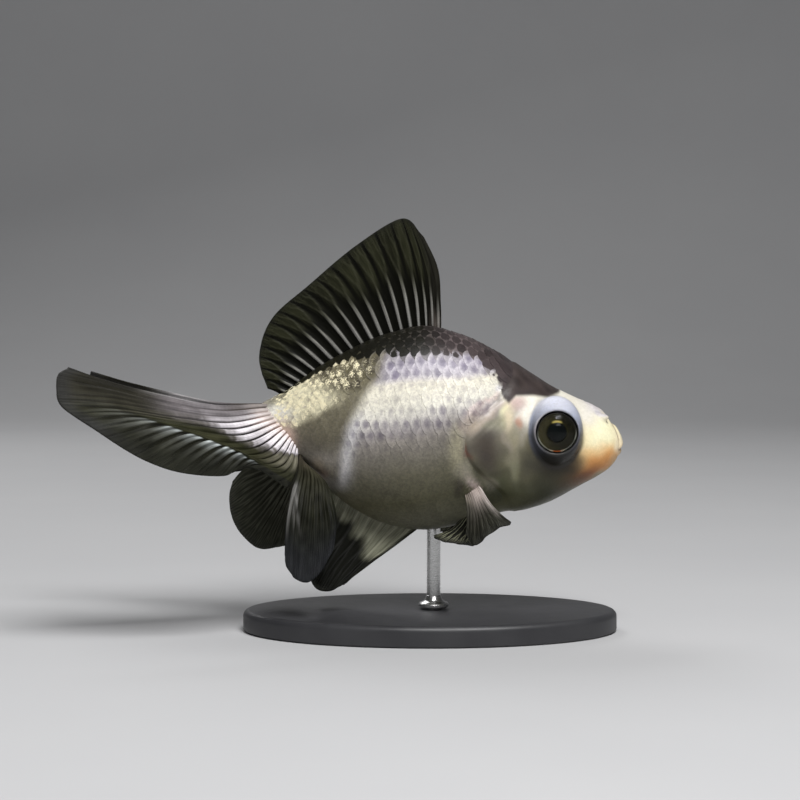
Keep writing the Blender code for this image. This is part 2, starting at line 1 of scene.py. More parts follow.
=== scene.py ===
"""Young butterfly-tailed goldfish on its display stand, dressed in skin, scales, fins and eyes.

The fish faces +X, its right side is -Y and +Z is up. Shapes are worked out in millimetres on the
fish's own level and come to metres, BODY_LIFT higher, where a mesh takes its place.
"""
import math

import bpy
import numpy as np
from mathutils import Matrix, Vector


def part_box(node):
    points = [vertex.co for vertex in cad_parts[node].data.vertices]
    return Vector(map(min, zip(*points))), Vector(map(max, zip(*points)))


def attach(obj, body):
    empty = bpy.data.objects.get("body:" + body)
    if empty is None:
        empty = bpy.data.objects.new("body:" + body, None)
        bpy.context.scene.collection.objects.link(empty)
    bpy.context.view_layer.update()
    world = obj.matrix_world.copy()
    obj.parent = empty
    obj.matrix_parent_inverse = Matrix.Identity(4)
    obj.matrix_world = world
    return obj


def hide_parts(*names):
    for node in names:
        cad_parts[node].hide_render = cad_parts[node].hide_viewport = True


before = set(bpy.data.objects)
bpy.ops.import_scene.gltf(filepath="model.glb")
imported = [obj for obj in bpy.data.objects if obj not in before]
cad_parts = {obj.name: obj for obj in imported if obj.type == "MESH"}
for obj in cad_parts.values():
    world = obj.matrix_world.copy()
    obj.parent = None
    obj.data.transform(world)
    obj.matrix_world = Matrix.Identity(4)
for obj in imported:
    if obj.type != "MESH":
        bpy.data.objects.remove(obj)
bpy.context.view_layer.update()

MM = 0.001
BODY_LIFT = 32.0
SIDES = (("right", -1), ("left", 1))
rng = np.random.default_rng(27)

# ---------------------------------------------------------------- the body's form

# Stations: x, top, bottom, half width and fullness of the section (2 is an ellipse).
BODY_STATIONS = np.array((
    (-27.0, 4.6, -1.0, 1.9, 2.0),
    (-23.5, 6.4, -2.7, 3.0, 2.0),
    (-20.0, 8.9, -5.3, 4.5, 2.0),
    (-16.0, 11.5, -9.7, 6.7, 2.0),
    (-12.0, 13.6, -12.8, 8.7, 2.0),
    (-7.0, 15.7, -15.1, 10.5, 2.0),
    (-1.0, 17.0, -16.0, 11.6, 2.0),
    (5.0, 15.6, -15.1, 11.7, 2.05),
    (11.0, 12.7, -13.3, 10.9, 2.15),
    (16.0, 9.5, -12.3, 9.6, 2.25),
    (20.0, 7.0, -10.8, 8.4, 2.3),
    (24.0, 5.1, -8.6, 7.1, 2.3),
    (27.0, 3.7, -7.0, 5.8, 2.2),
    (29.2, 1.3, -5.3, 4.0, 2.1),
    (30.7, -1.9, -1.9, 0.0, 2.0),
))
TAIL_END, SNOUT_TIP, SNOUT_START = -27.0, 30.7, 26.0
MOUTH_LEVEL = -2.6
# The waist lies this share of the half height below the middle.
WAIST_DROP = 0.05
# The gill opening: its x at the ends, how far it bulges back, its level, fullness and reach up and down.
GILL_CUT_X, GILL_BULGE, GILL_LEVEL, GILL_POWER = 13.5, 8.0, -1.0, 2.6
GILL_REACH_UP, GILL_REACH_DOWN = 6.2, 7.4
# The skin under the scales lies this much lower.
COAT_DEPTH = 0.25

# The bulb round the eye: distance along the eye's axis, radius, height over width.
EYE_ROOT, EYE_AXIS = (19.6, 0.0, 0.6), (0.0, 1.0, -0.006)
BULB_ROWS = (
    (4.0, 0.0, 1.3), (4.0, 2.4, 1.3), (4.2, 4.1, 1.3), (5.6, 4.25, 1.3), (7.0, 4.25, 1.3),
    (8.2, 4.22, 1.29), (9.2, 4.06, 1.25), (10.0, 3.84, 1.18), (10.55, 3.66, 1.1),
    (10.85, 3.52, 1.05), (10.95, 3.40, 1.01), (10.8, 3.3, 1.0), (10.3, 3.24, 1.0),
    (9.2, 3.3, 1.0), (7.6, 2.9, 1.0), (6.5, 1.7, 1.0), (6.1, 0.0, 1.0),
)
BULB_STRETCH = 1.28

# The nostril's pit, and the soft flap over it: places, the reach of the flap's colour and the flap's form.
NOSTRIL_PIT = (27.9, 3.1, 1.75)
NOSTRIL_FLAP, FLAP_REACH = (27.1, 3.6, 3.0), (1.2, 0.9, 0.9)
FLAP_TURN, FLAP_SIZE, FLAP_SINK = math.radians(52), (1.25, 0.75, 0.62), 0.1


def soft(low, high, x):
    """Smooth step from 0 at low to 1 at high."""
    t = np.clip((x - low) / (high - low), 0.0, 1.0)
    return t * t * (3 - 2 * t)


def bell(x, centre, width):
    """Smooth bump of height 1."""
    return np.exp(-((x - centre) / width) ** 2)


def read_off(line, places):
    """Second value of a line of points at places given by the first value."""
    return np.interp(places, *np.transpose(line))


def smooth_profile(column, x, squared=False):
    """Monotone cubic through one column of the body table."""
    xs = BODY_STATIONS[:, 0]
    ys = column ** 2 if squared else column
    steps = np.diff(xs)
    rises = np.diff(ys) / steps
    product = rises[:-1] * rises[1:]
    total = np.where(product > 0, rises[:-1] + rises[1:], 1.0)
    inner = np.where(product > 0, 2 * product / total, 0.0)
    slopes = np.concatenate(([rises[0]], inner, [rises[-1]]))
    span = np.clip(np.searchsorted(xs, x) - 1, 0, len(xs) - 2)
    t = np.clip((x - xs[span]) / steps[span], 0.0, 1.0)
    value = ((1 + 2 * t) * (1 - t) ** 2 * ys[span] + t * t * (3 - 2 * t) * ys[span + 1]
             + steps[span] * (t * (1 - t) ** 2 * slopes[span] - t * t * (1 - t) * slopes[span + 1]))
    return np.sqrt(np.maximum(value, 0.0)) if squared else value


def body_section(x):
    """Half width, waist level, half height and fullness of the section at x."""
    top, bottom = BODY_STATIONS[:, 1], BODY_STATIONS[:, 2]
    middle = smooth_profile((top + bottom) / 2, x)
    half_height = smooth_profile((top - bottom) / 2, x, squared=True)
    half_width = smooth_profile(BODY_STATIONS[:, 3], x, squared=True)
    fullness = smooth_profile(BODY_STATIONS[:, 4], x)
    return half_width, middle - WAIST_DROP * half_height, half_height, fullness


def body_surface(x, angle):
    """Points of the body; the angle runs from 0 at the left side up over the back."""
    half_width, waist, half_height, fullness = body_section(x)
    power = 2 / fullness
    reach = half_height * (1 + WAIST_DROP * np.sign(np.sin(angle)))
    across = np.sign(np.cos(angle)) * np.abs(np.cos(angle)) ** power
    upward = np.sign(np.sin(angle)) * np.abs(np.sin(angle)) ** power
    along = np.broadcast_to(x, np.shape(across))
    return np.stack((along, half_width * across, waist + reach * upward), axis=-1)


def body_normals(x, angle):
    """Outward directions of the body's surface."""
    step = 1e-3
    along = body_surface(x + step, angle) - body_surface(x - step, angle)
    around = body_surface(x, angle + step) - body_surface(x, angle - step)
    normal = np.cross(around, along)
    return normal / np.linalg.norm(normal, axis=-1, keepdims=True)


def gill_cut_x(z):
    """The gill opening, which bulges back behind the gill covers."""
    reach = np.where(z > GILL_LEVEL, GILL_REACH_UP, GILL_REACH_DOWN)
    return GILL_CUT_X - GILL_BULGE * np.exp(-(np.abs(z - GILL_LEVEL) / reach) ** GILL_POWER)


def smooth_curve(points, t):
    """Points of smooth curves through evenly spaced points; the first axis runs along the points."""
    points = np.asarray(points, dtype=float)
    last = len(points) - 1
    padded = np.concatenate(([2 * points[0] - points[1]], points, [2 * points[-1] - points[-2]]))
    span = np.minimum((t * last).astype(int), last - 1)
    u = (t * last - span).reshape((-1,) + (1,) * (points.ndim - 1))
    before, start, end, after = (padded[span + k] for k in range(4))
    return 0.5 * (2 * start + (end - before) * u
                  + (2 * before - 5 * start + 4 * end - after) * u ** 2
                  + (3 * start - before - 3 * end + after) * u ** 3)


def eye_frame(side):
    """Frame of an eye: its third axis is the way the eye looks, its second points up."""
    look = Vector((EYE_AXIS[0], side * EYE_AXIS[1], EYE_AXIS[2])).normalized()
    upright = (Vector((0.0, 0.0, 1.0)) - look * look.z).normalized()
    turn = Matrix((upright.cross(look), upright, look)).transposed()
    return np.array(turn), np.array(EYE_ROOT)


# ---------------------------------------------------------------- working on a piece


def active(piece):
    """Make one piece the only selected one."""
    bpy.ops.object.select_all(action="DESELECT")
    piece.select_set(True)
    bpy.context.view_layer.objects.active = piece


def corners(piece):
    """Places of a piece's corners in its own mesh."""
    places = np.empty(len(piece.data.vertices) * 3)
    piece.data.vertices.foreach_get("co", places)
    return places.reshape(-1, 3)


def place_corners(piece, points):
    """Move a piece's corners to points given on the fish, in millimetres."""
    world = (points + (0.0, 0.0, BODY_LIFT)) * MM
    piece.data.vertices.foreach_set("co", world.ravel())
    piece.data.update()


def on_fish(piece):
    """Places of a piece's corners on the fish, in millimetres."""
    return corners(piece) / MM - (0.0, 0.0, BODY_LIFT)


def sphere(name, segments, rings):
    """A fresh sphere to be shaped, with each corner's turn round it and share of the way along it."""
    bpy.ops.object.select_all(action="DESELECT")
    bpy.ops.mesh.primitive_uv_sphere_add(segments=segments, ring_count=rings, radius=1.0)
    piece = bpy.context.object
    piece.name = name
    places = corners(piece)
    share = np.arccos(np.clip(-places[:, 2], -1.0, 1.0)) / math.pi
    return piece, np.arctan2(places[:, 1], places[:, 0]), share


def grid(name, across, along):
    """A fresh sheet to be shaped, with each corner's share of the way across and along it."""
    bpy.ops.object.select_all(action="DESELECT")
    bpy.ops.mesh.primitive_grid_add(x_subdivisions=across, y_subdivisions=along, size=1.0)
    piece = bpy.context.object
    piece.name = name
    places = corners(piece) + 0.5
    return piece, places[:, 0], places[:, 1]


def apply_modifier(piece, kind, **settings):
    """Add a modifier, set it and apply it."""
    active(piece)
    bpy.ops.object.modifier_add(type=kind)
    modifier = piece.modifiers[-1]
    for key, value in settings.items():
        setattr(modifier, key, value)
    bpy.ops.object.modifier_apply(modifier=modifier.name)


def outward(piece):
    """Turn all faces of a closed piece outwards."""
    active(piece)
    bpy.ops.object.mode_set(mode="EDIT")
    bpy.ops.mesh.select_all(action="SELECT")
    bpy.ops.mesh.normals_make_consistent(inside=False)
    bpy.ops.object.mode_set(mode="OBJECT")


def smooth_shading(piece, angle=None):
    """Smooth faces, with edges kept crisp past an angle where one is given."""
    active(piece)
    if angle:
        bpy.ops.object.shade_smooth_by_angle(angle=math.radians(angle))
    else:
        bpy.ops.object.shade_smooth()


def put_in_scene(name, data):
    """Put a mesh, a lamp or a camera in the scene."""
    item = bpy.data.objects.new(name, data)
    bpy.context.scene.collection.objects.link(item)
    return item


def vertex_normals(piece):
    """Smooth directions at a piece's corners."""
    normals = np.empty(len(piece.data.vertices) * 3)
    piece.data.vertices.foreach_get("normal", normals)
    return normals.reshape(-1, 3)


def weight_group(piece, name, weights):
    """Vertex group with a weight for each corner, stored in steps of a hundredth."""
    group = piece.vertex_groups.new(name=name)
    levels = np.round(np.clip(weights, 0.0, 1.0) * 100).astype(int)
    for level in np.unique(levels):
        group.add(np.flatnonzero(levels == level).tolist(), level / 100, "REPLACE")
    return group.name


def paint(piece, name, values):
    """Store numbers or colours at a piece's corners."""
    values = np.asarray(values, dtype=np.float32)
    if values.ndim == 1:
        layer = piece.data.attributes.new(name, "FLOAT", "POINT")
        layer.data.foreach_set("value", values)
    else:
        layer = piece.data.attributes.new(name, "FLOAT_COLOR", "POINT")
        full = np.concatenate((values, np.ones((len(values), 1), np.float32)), axis=1)
        layer.data.foreach_set("color", full.ravel())


def lay_map(piece, name, across, along):
    """UV map whose coordinates are given for each corner of the mesh."""
    layer = piece.data.uv_layers.new(name=name)
    index = np.empty(len(piece.data.loops), dtype=np.int32)
    piece.data.loops.foreach_get("vertex_index", index)
    layer.data.foreach_set("uv", np.stack((across[index], along[index]), axis=1).ravel())


# ---------------------------------------------------------------- markings

PEARL = (0.70, 0.665, 0.61)
CREAM = (0.98, 0.84, 0.52)
WHITE = (0.86, 0.83, 0.72)
SADDLE_BROWN = (0.042, 0.032, 0.031)
SADDLE_BLACK = (0.012, 0.012, 0.006)
STALK_BROWN = (0.165, 0.148, 0.100)
STALK_DARK = (0.072, 0.067, 0.050)
GOLD = (0.99, 0.92, 0.64)
OLD_GOLD = (0.190, 0.166, 0.097)
CHEEK_OLIVE = (0.072, 0.074, 0.036)

# Lower edge of the dark saddle as (x, z).
SADDLE_EDGE = ((-23.0, 6.0), (-20.8, 7.7), (-16.0, 10.2), (-13.6, 11.3), (-11.2, 12.0), (-4.8, 12.4),
               (1.6, 12.5), (6.4, 12.0), (8.8, 10.7), (9.8, 9.7), (10.4, 8.7), (10.8, 7.3), (11.2, 5.9),
               (12.1, 5.0), (13.3, 6.1), (14.6, 6.1), (16.0, 6.1), (18.4, 5.7), (20.4, 6.3),
               (22.0, 8.0))
# Where the pale flank gives way to the brown stalk, as (z, x).
FLANK_REAR = ((-12.0, -15.2), (-7.8, -14.7), (-3.0, -14.2), (1.0, -13.1), (5.0, -10.9), (6.9, -9.8),
              (9.0, -7.8), (10.8, -8.1), (12.0, -7.8))
# Lower edge of the gold strip as (x, z).
GOLD_EDGE = ((-26.0, 0.6), (-22.4, 1.2), (-20.8, 1.8), (-18.0, 3.3), (-16.0, 4.4), (-13.6, 6.0),
             (-11.2, 7.6), (-7.2, 9.8), (0.0, 12.0))
# Colours of flank and tail stalk from the belly up. The bright band high on the flank and the darkening
# towards the belly are partly the fish's own colours and partly painted light from above and painted shade
# beneath.
FLANK_LEVELS = (-16.0, -12.5, -9.0, -5.0, -1.0, 1.0, 2.8, 4.2, 5.4, 8.3, 9.3, 11.0, 13.0)
FLANK_TONES = ((0.165, 0.165, 0.115), (0.160, 0.155, 0.106), (0.112, 0.106, 0.060), (0.138, 0.128, 0.084),
               (0.215, 0.196, 0.162), (0.300, 0.272, 0.240), (0.385, 0.352, 0.350), PEARL, WHITE,
               (0.88, 0.83, 0.68), (0.56, 0.52, 0.55), (0.52, 0.48, 0.54), (0.44, 0.41, 0.44))
STALK_LEVELS = (-9.0, -6.5, -4.4, -2.6, -0.8, 1.2, 6.0)
STALK_TONES = (STALK_DARK, (0.25, 0.225, 0.18), (0.34, 0.31, 0.265), (0.185, 0.168, 0.130),
               (0.145, 0.130, 0.090), STALK_BROWN, (0.20, 0.18, 0.12))
# Colours of the eye's bulb from its underside up, over its half height. The bluish tint is the bulb's own;
# the dark underside is painted shade and the pale top is painted light.
BULB_HALF_HEIGHT = 5.4
BULB_LEVELS = (-1.0, -0.6, -0.1, 0.4, 1.0)
BULB_TONES = ((0.016, 0.014, 0.009), (0.018, 0.018, 0.018), (0.062, 0.066, 0.088), (0.34, 0.37, 0.48),
              (0.68, 0.69, 0.79))

# Patches seen from the side: x, z, half length, half height, tilt in degrees, colour, strength.
STALK_PATCHES = (
    # The first patch, a bright pale streak at the tail root, is partly pale scales and partly painted
    # highlight.
    (-24.2, 2.9, 2.6, 1.5, 0, (0.98, 0.96, 0.86), 0.95),
    (-23.0, -0.6, 1.7, 3.0, 12, (0.66, 0.49, 0.41), 0.75),
    (-25.4, 0.2, 1.3, 3.2, 20, (0.84, 0.66, 0.59), 0.8),
    (-28.2, 1.8, 1.6, 3.6, 0, (0.62, 0.47, 0.41), 0.85),
    (-23.9, 5.9, 1.4, 0.9, -20, (0.10, 0.09, 0.06), 0.7),
)
HEAD_PATCHES = (
    (11.6, -8.3, 7.2, 3.9, -15, CHEEK_OLIVE, 1),
    (17.9, -7.4, 6.9, 3.3, 20, CHEEK_OLIVE, 1),
    (14.7, -3.1, 3.7, 4.4, 0, (0.115, 0.108, 0.070), 0.95),
    (26.8, 0.2, 6.0, 5.7, 0, CREAM, 1),
    (24.2, 3.6, 4.7, 2.8, -20, (0.78, 0.74, 0.66), 1),
    (27.3, -0.5, 2.6, 2.5, 0, (1.0, 0.97, 0.68), 0.85),
    (26.4, -3.3, 4.8, 1.7, 20, (0.90, 0.58, 0.26), 0.8),
    (26.2, -5.0, 5.0, 1.5, 28, (0.76, 0.34, 0.10), 0.95),
    (24.0, -6.9, 3.9, 1.2, 26, (0.34, 0.115, 0.040), 0.9),
    (14.0, -10.6, 3.2, 1.3, 22, (0.115, 0.115, 0.068), 0.7),
    (21.7, -5.9, 2.4, 2.0, 20, (0.085, 0.042, 0.020), 0.85),
    # Dark just under the eye bulb: partly the cheek's own olive, partly painted shade under the bulb.
    (19.6, -4.9, 4.5, 1.7, 0, (0.026, 0.021, 0.012), 0.95),
    (16.4, -4.0, 2.2, 2.6, -10, (0.045, 0.042, 0.030), 0.75),
    (18.6, -7.2, 3.4, 1.8, 18, (0.038, 0.036, 0.020), 0.7),
    (19.6, -9.3, 6.0, 1.7, 24, (0.034, 0.035, 0.017), 0.85),
    # Pale at the snout tip: partly the lip's cream colour, partly painted highlight.
    (30.0, -1.6, 0.6, 1.9, 8, (1.0, 0.92, 0.70), 0.6),
    (26.2, 4.3, 2.4, 1.1, -38, (0.62, 0.58, 0.63), 0.75),
    (15.1, 3.9, 1.9, 3.0, -8, (0.93, 0.88, 0.78), 1),
    (14.2, 0.3, 1.2, 1.9, 0, (0.42, 0.39, 0.33), 0.6),
    (12.7, 5.0, 1.9, 0.9, 0, (0.60, 0.42, 0.40), 0.8),
    (11.6, 3.6, 0.9, 2.3, -15, (0.80, 0.76, 0.50), 0.85),
    (12.3, 2.3, 0.9, 1.9, -8, (0.84, 0.72, 0.52), 0.9),
    (13.8, 2.1, 0.5, 1.4, -8, (0.46, 0.22, 0.14), 0.75),
    (12.6, -0.3, 1.0, 1.6, -10, (0.34, 0.31, 0.22), 0.7),
    (9.8, 1.8, 2.0, 1.2, 10, (0.32, 0.31, 0.23), 0.7),
    (8.6, -2.6, 2.5, 3.8, 15, (0.050, 0.040, 0.034), 0.95),
    (6.0, -2.5, 0.3, 1.5, 12, (0.17, 0.065, 0.045), 0.85),
    (4.0, -1.5, 1.4, 3.9, 6, (0.37, 0.34, 0.225), 0.75),
    (5.9, -5.9, 0.9, 2.6, 38, (0.34, 0.32, 0.24), 0.6),
    (9.2, 3.3, 2.9, 0.7, 42, (0.46, 0.38, 0.33), 0.7),
    (8.6, 5.4, 3.4, 0.5, 36, (0.70, 0.52, 0.48), 0.65),
    (9.5, 4.4, 2.8, 0.4, 42, (0.74, 0.66, 0.62), 0.6),
    (8.7, 4.2, 1.9, 0.3, 45, (0.26, 0.22, 0.24), 0.75),
    (7.3, 3.5, 1.6, 0.3, 40, (0.40, 0.30, 0.29), 0.6),
    (6.0, 2.0, 1.9, 1.4, 30, (0.56, 0.46, 0.37), 0.6),
    (6.7, 4.3, 1.9, 0.3, 38, (0.72, 0.62, 0.58), 0.6),
    (10.5, 6.1, 0.8, 0.4, 40, (0.15, 0.12, 0.13), 0.7),
    (11.3, 7.2, 1.1, 0.5, 5, (0.95, 0.93, 0.92), 0.95),
    (12.7, -2.8, 0.9, 3.4, 5, (0.28, 0.26, 0.19), 0.5),
    (13.2, -5.6, 0.7, 1.6, 10, (0.24, 0.24, 0.15), 0.5),
    (11.7, -0.7, 0.5, 1.6, 20, (0.30, 0.26, 0.22), 0.5),
    # Dark spot at the lower end of the gill opening by the pectoral root: painted shadow.
    (4.2, -8.2, 0.8, 1.4, 15, (0.045, 0.036, 0.026), 0.8),
    (6.6, -7.9, 2.0, 0.75, -52, (0.56, 0.46, 0.42), 0.9),
    (9.3, -7.6, 1.6, 0.9, -50, (0.27, 0.25, 0.19), 0.7),
    (5.0, -6.0, 1.2, 1.4, 10, (0.34, 0.31, 0.24), 0.6),
    (-17.8, -5.0, 1.1, 1.3, 0, (0.52, 0.42, 0.30), 0.5),
    (-17.4, -6.8, 1.4, 1.0, 30, (0.28, 0.17, 0.13), 0.5),
)
# Crossing waves in a smooth unevenness.
WAVE_COUNT = 9
# Pale strands that run up and back from the gill opening.
STRAND_SLANT = math.radians(42.0)
STRAND_PATCH = (8.4, 3.2, 4.2, 2.6, 42, None, 1)


def tint(base, colour, amount):
    """Lay a colour over colours, by an amount at each place."""
    return base + (np.asarray(colour) - base) * np.asarray(amount)[..., None]


def layered(base, *coats):
    """Lay colours over colours one after another; a coat is a colour and its amount at each place."""
    for colour, amount in coats:
        base = tint(base, colour, amount)
    return base


def ladder(value, places, colours):
    """Colours that change from one place to the next."""
    return np.stack([np.interp(value, places, column) for column in zip(*colours)], axis=-1)


def waviness(points, scale, seed):
    """Smooth random unevenness between -1 and 1, from a few crossing waves."""
    waves = np.random.default_rng(seed)
    total = np.zeros(points.shape[:-1])
    for _ in range(WAVE_COUNT):
        direction = waves.normal(size=3)
        direction /= np.linalg.norm(direction)
        stretch = waves.uniform(0.7, 1.5)
        total += np.sin((points @ direction) * (2 * math.pi / scale) * stretch + waves.uniform(0, 6.3))
    return total / (WAVE_COUNT / 2)


def patch_share(points, patch):
    """How much of a patch lies over each place, seen from the side."""
    x, z, length, height, tilt = patch[:5]
    turn = math.radians(tilt)
    east, up = points[..., 0] - x, points[..., 2] - z
    along = (east * math.cos(turn) + up * math.sin(turn)) / length
    aside = (up * math.cos(turn) - east * math.sin(turn)) / height
    return patch[6] * np.exp(-(along ** 2 + aside ** 2) ** 1.6)


def saddle_share(points, blur=0.5):
    """How far a place lies in the dark saddle over the back and forehead."""
    edge = read_off(SADDLE_EDGE, points[..., 0])
    return soft(-blur, blur, points[..., 2] - edge) * soft(22.4, 20.6, points[..., 0])


def stalk_share(points):
    """How far a place lies on the brown tail stalk, behind the pale flank."""
    edge = read_off(FLANK_REAR, points[..., 2])
    return soft(1.2, -1.2, points[..., 0] - edge)


def gold_share(points, blur=1.0):
    """How far a place lies in the glittering strip over the tail stalk."""
    edge = read_off(GOLD_EDGE, points[..., 0]) + 0.55 * waviness(points, 2.6, 51)
    rear = soft(-5.5, -10.0, points[..., 0]) * soft(-25.5, -23.5, points[..., 0])
    return soft(-blur, blur, points[..., 2] - edge) * rear


def tarnish(x, z):
    """How far the gold strip has dulled, more the higher up and the farther forward."""
    return soft(5.4, 9.8, z + 0.35 * (x + 18.0))


def markings(points, ragged=0.5, saddle_amount=None):
    """Colour of skin and scales alike at any place of the body, with some painted light and shade in it."""
    x, height = points[..., 0], points[..., 2]
    wobble = waviness(points, 7.0, 3)
    level = (height + 0.35 * wobble + 0.2 * np.clip(4.0 - x, -6.0, 17.0) * soft(8.5, 4.0, height)
             - 0.1 * (x - 1.6) * soft(5.5, 8.5, height))
    stalk = ladder(height + 0.5 * wobble, STALK_LEVELS, STALK_TONES)
    rear = x - read_off(FLANK_REAR, height)
    # A pale line along the low part of the flank's rear edge: painted highlight where the flank turns in
    # towards the stalk.
    border = 0.9 * bell(rear, 0.7, 1.3) * soft(-10.0, -6.0, height) * soft(5.0, 0.0, height)
    gold = tint(np.array(GOLD), OLD_GOLD, tarnish(x, height))
    tone = layered(ladder(level, FLANK_LEVELS, FLANK_TONES), ((0.78, 0.76, 0.76), border),
                   (stalk, stalk_share(points + 0.4 * wobble[..., None])),
                   (gold, 0.95 * gold_share(points, 1.4)))
    drift = (waviness(points, 4.0, 11), np.zeros_like(wobble), waviness(points, 4.0, 12))
    warped = points + np.stack(drift, axis=-1) * 0.45
    for patches, places in ((STALK_PATCHES, points), (HEAD_PATCHES, warped)):
        for patch in patches:
            tone = tint(tone, patch[5], patch_share(places, patch))
    uphill = x * math.cos(STRAND_SLANT) + height * math.sin(STRAND_SLANT)
    across = height * math.cos(STRAND_SLANT) - x * math.sin(STRAND_SLANT)
    strands = waviness(np.stack((uphill * 0.25, np.zeros_like(across), across * 1.7), axis=-1), 1.7, 61)
    tone = tone * (1 + 0.34 * strands * patch_share(points, STRAND_PATCH))[..., None]
    mottle = 0.5 + 0.5 * waviness(points, 2.6, 8)
    saddle = tint(np.array(SADDLE_BROWN), SADDLE_BLACK, soft(2.0, -7.0, x) * 0.9)
    amount = saddle_share(points, ragged) if saddle_amount is None else saddle_amount
    return np.clip(tint(tone, saddle * (0.75 + 0.6 * mottle[..., None]), amount), 0.0, 1.0)


# ---------------------------------------------------------------- skin

VOXEL = 0.25
BODY_SEGMENTS, BODY_RINGS = 120, 190
# Shares of the body's rings: the cap over the stalk's end, and where the nose's rounding starts.
CAP_SHARE, NOSE_SHARE = 0.03, 0.86
# Where the forms of the mouth fade in towards the front.
MOUTH_FADE = (26.6, 27.6)
BUMP_COUNT = 46


def body_form():
    """The whole body as one closed form; its scaled part lies a scale's depth lower."""
    piece, turn, share = sphere("skin", BODY_SEGMENTS, BODY_RINGS)
    cap_turn = np.clip(share / CAP_SHARE, 0, 1) * math.pi / 2
    nose = np.sin(np.clip((share - NOSE_SHARE) / (1 - NOSE_SHARE), 0, 1) * math.pi / 2)
    trunk = np.clip((share - CAP_SHARE) / (NOSE_SHARE - CAP_SHARE), 0, 1)
    x = TAIL_END + (SNOUT_START - TAIL_END) * trunk + (SNOUT_TIP - SNOUT_START) * nose
    points = body_surface(x, turn)
    behind_gill = soft(0.2, -0.5, points[:, 0] - gill_cut_x(points[:, 2]))
    points -= body_normals(np.minimum(x, SNOUT_TIP - 0.02), turn) * (COAT_DEPTH * behind_gill)[:, None]
    axis = np.stack((points[:, 0], np.zeros(len(x)), body_section(x)[1]), axis=1)
    points = axis + (points - axis) * np.maximum(np.sin(cap_turn), 0.0)[:, None]
    points[:, 0] -= np.cos(cap_turn)
    place_corners(piece, points)
    return piece


def eye_bulb_form(side):
    """The fleshy bulb that carries an eye, with the cup that the eye sits in."""
    piece, turn, share = sphere("eye_bulb", 96, 110)
    rows = smooth_curve(BULB_ROWS, share)
    turned_frame, root = eye_frame(side)
    local = np.stack((rows[:, 1] * np.cos(turn), rows[:, 1] * rows[:, 2] * np.sin(turn), rows[:, 0]), axis=1)
    place_corners(piece, local @ turned_frame.T + root)
    return piece


def nostril_form(side):
    """The soft flap over a nostril."""
    piece, _, _ = sphere("nostril", 32, 24)
    x, y, z = body_surface(np.array(NOSTRIL_FLAP[0]), np.array(FLAP_TURN))
    place_corners(piece, corners(piece) * FLAP_SIZE + (x, side * y, z - FLAP_SINK))
    return piece


def eye_distance(points):
    """Distance along the nearest eye's axis, away from it, away from it over the bulb's stretch, and the
    place in the eye's own frame."""
    mirrored = points * (1.0, -1.0, 1.0)
    frame_right, root = eye_frame(-1)
    local = (np.where(points[:, 1:2] < 0, points, mirrored) - root) @ frame_right
    stretched = np.hypot(local[:, 0], local[:, 1] / BULB_STRETCH)
    return local[:, 2], np.hypot(local[:, 0], local[:, 1]), stretched, local


def spot_distance(points, spot, reach=(1.0, 1.0, 1.0)):
    """Distance from a spot on either side of the head, over the spot's reach."""
    x, y, z = points.T
    return np.hypot((x - spot[0]) / reach[0],
                    np.hypot((np.abs(y) - spot[1]) / reach[1], (z - spot[2]) / reach[2]))


def mouth_lines(points):
    """Level over the mouth slit, and how far out a place lies on the upper and on the lower lip."""
    aside, z = np.abs(points[:, 1]), points[:, 2]
    slit = z - (MOUTH_LEVEL - 0.07 * aside ** 2)
    upper_lip = ((aside / 2.55) ** 2.4 + np.abs((z - MOUTH_LEVEL) / 4.2) ** 2.4) ** (1 / 2.4)
    lower_lip = np.hypot(aside / 2.4, (z - MOUTH_LEVEL) / 1.55)
    return slit, upper_lip, lower_lip


def head_relief(points):
    """Height of the head's folds, lips and gill covers above the plain form."""
    x, y, z = points.T
    aside = np.abs(y)
    past_gill = x - gill_cut_x(z)
    cover_zone = soft(-10.8, -9.0, z) * soft(6.4, 5.0, z) * soft(3.0, 5.0, aside)
    height = 0.20 * soft(-0.3, 0.5, past_gill) * soft(6.0, 1.5, past_gill) * cover_zone
    height -= 0.09 * bell(past_gill, -0.35, 0.45) * cover_zone
    ridge = x - (13.3 + 0.02 * (z + 1.0) ** 2)
    cheek_zone = soft(-10.0, -8.0, z) * soft(4.6, 2.6, z) * soft(3.0, 5.0, aside)
    height += (0.08 * bell(ridge, 0.55, 0.9) - 0.06 * bell(ridge, -0.45, 0.5)) * cheek_zone
    for curve_x, curve_z, reach, rise in ((9.6, 1.0, 3.4, 0.08), (10.2, -5.5, 3.0, 0.07)):
        level = z - curve_z - 0.35 * (x - curve_x)
        height += rise * bell(level, 0.0, 0.5) * bell(x, curve_x, reach) * cover_zone
    slit, upper_lip, lower_lip = mouth_lines(points)
    front = soft(*MOUTH_FADE, x)
    mouth = front * soft(2.6, 2.1, aside)
    height -= 0.20 * bell(slit, 0.0, 0.17) * mouth
    height -= 0.15 * bell(upper_lip, 1.0, 0.10) * front * soft(-3.1, -2.6, z)
    height += 0.12 * soft(0.98, 0.78, upper_lip) * soft(0.0, 0.5, slit) * front
    height += 0.10 * bell(slit, 0.75, 0.5) * soft(2.5, 1.8, aside) * front
    height -= 0.05 * bell(upper_lip, 0.62, 0.10) * front * soft(-1.9, -1.2, z)
    height -= 0.10 * bell(lower_lip, 1.0, 0.14) * front * soft(-2.5, -2.9, z)
    height += 0.12 * soft(0.95, 0.6, lower_lip) * soft(0.0, -0.4, slit) * front
    height -= 0.30 * bell(spot_distance(points, NOSTRIL_PIT), 0.0, 0.42)
    return height


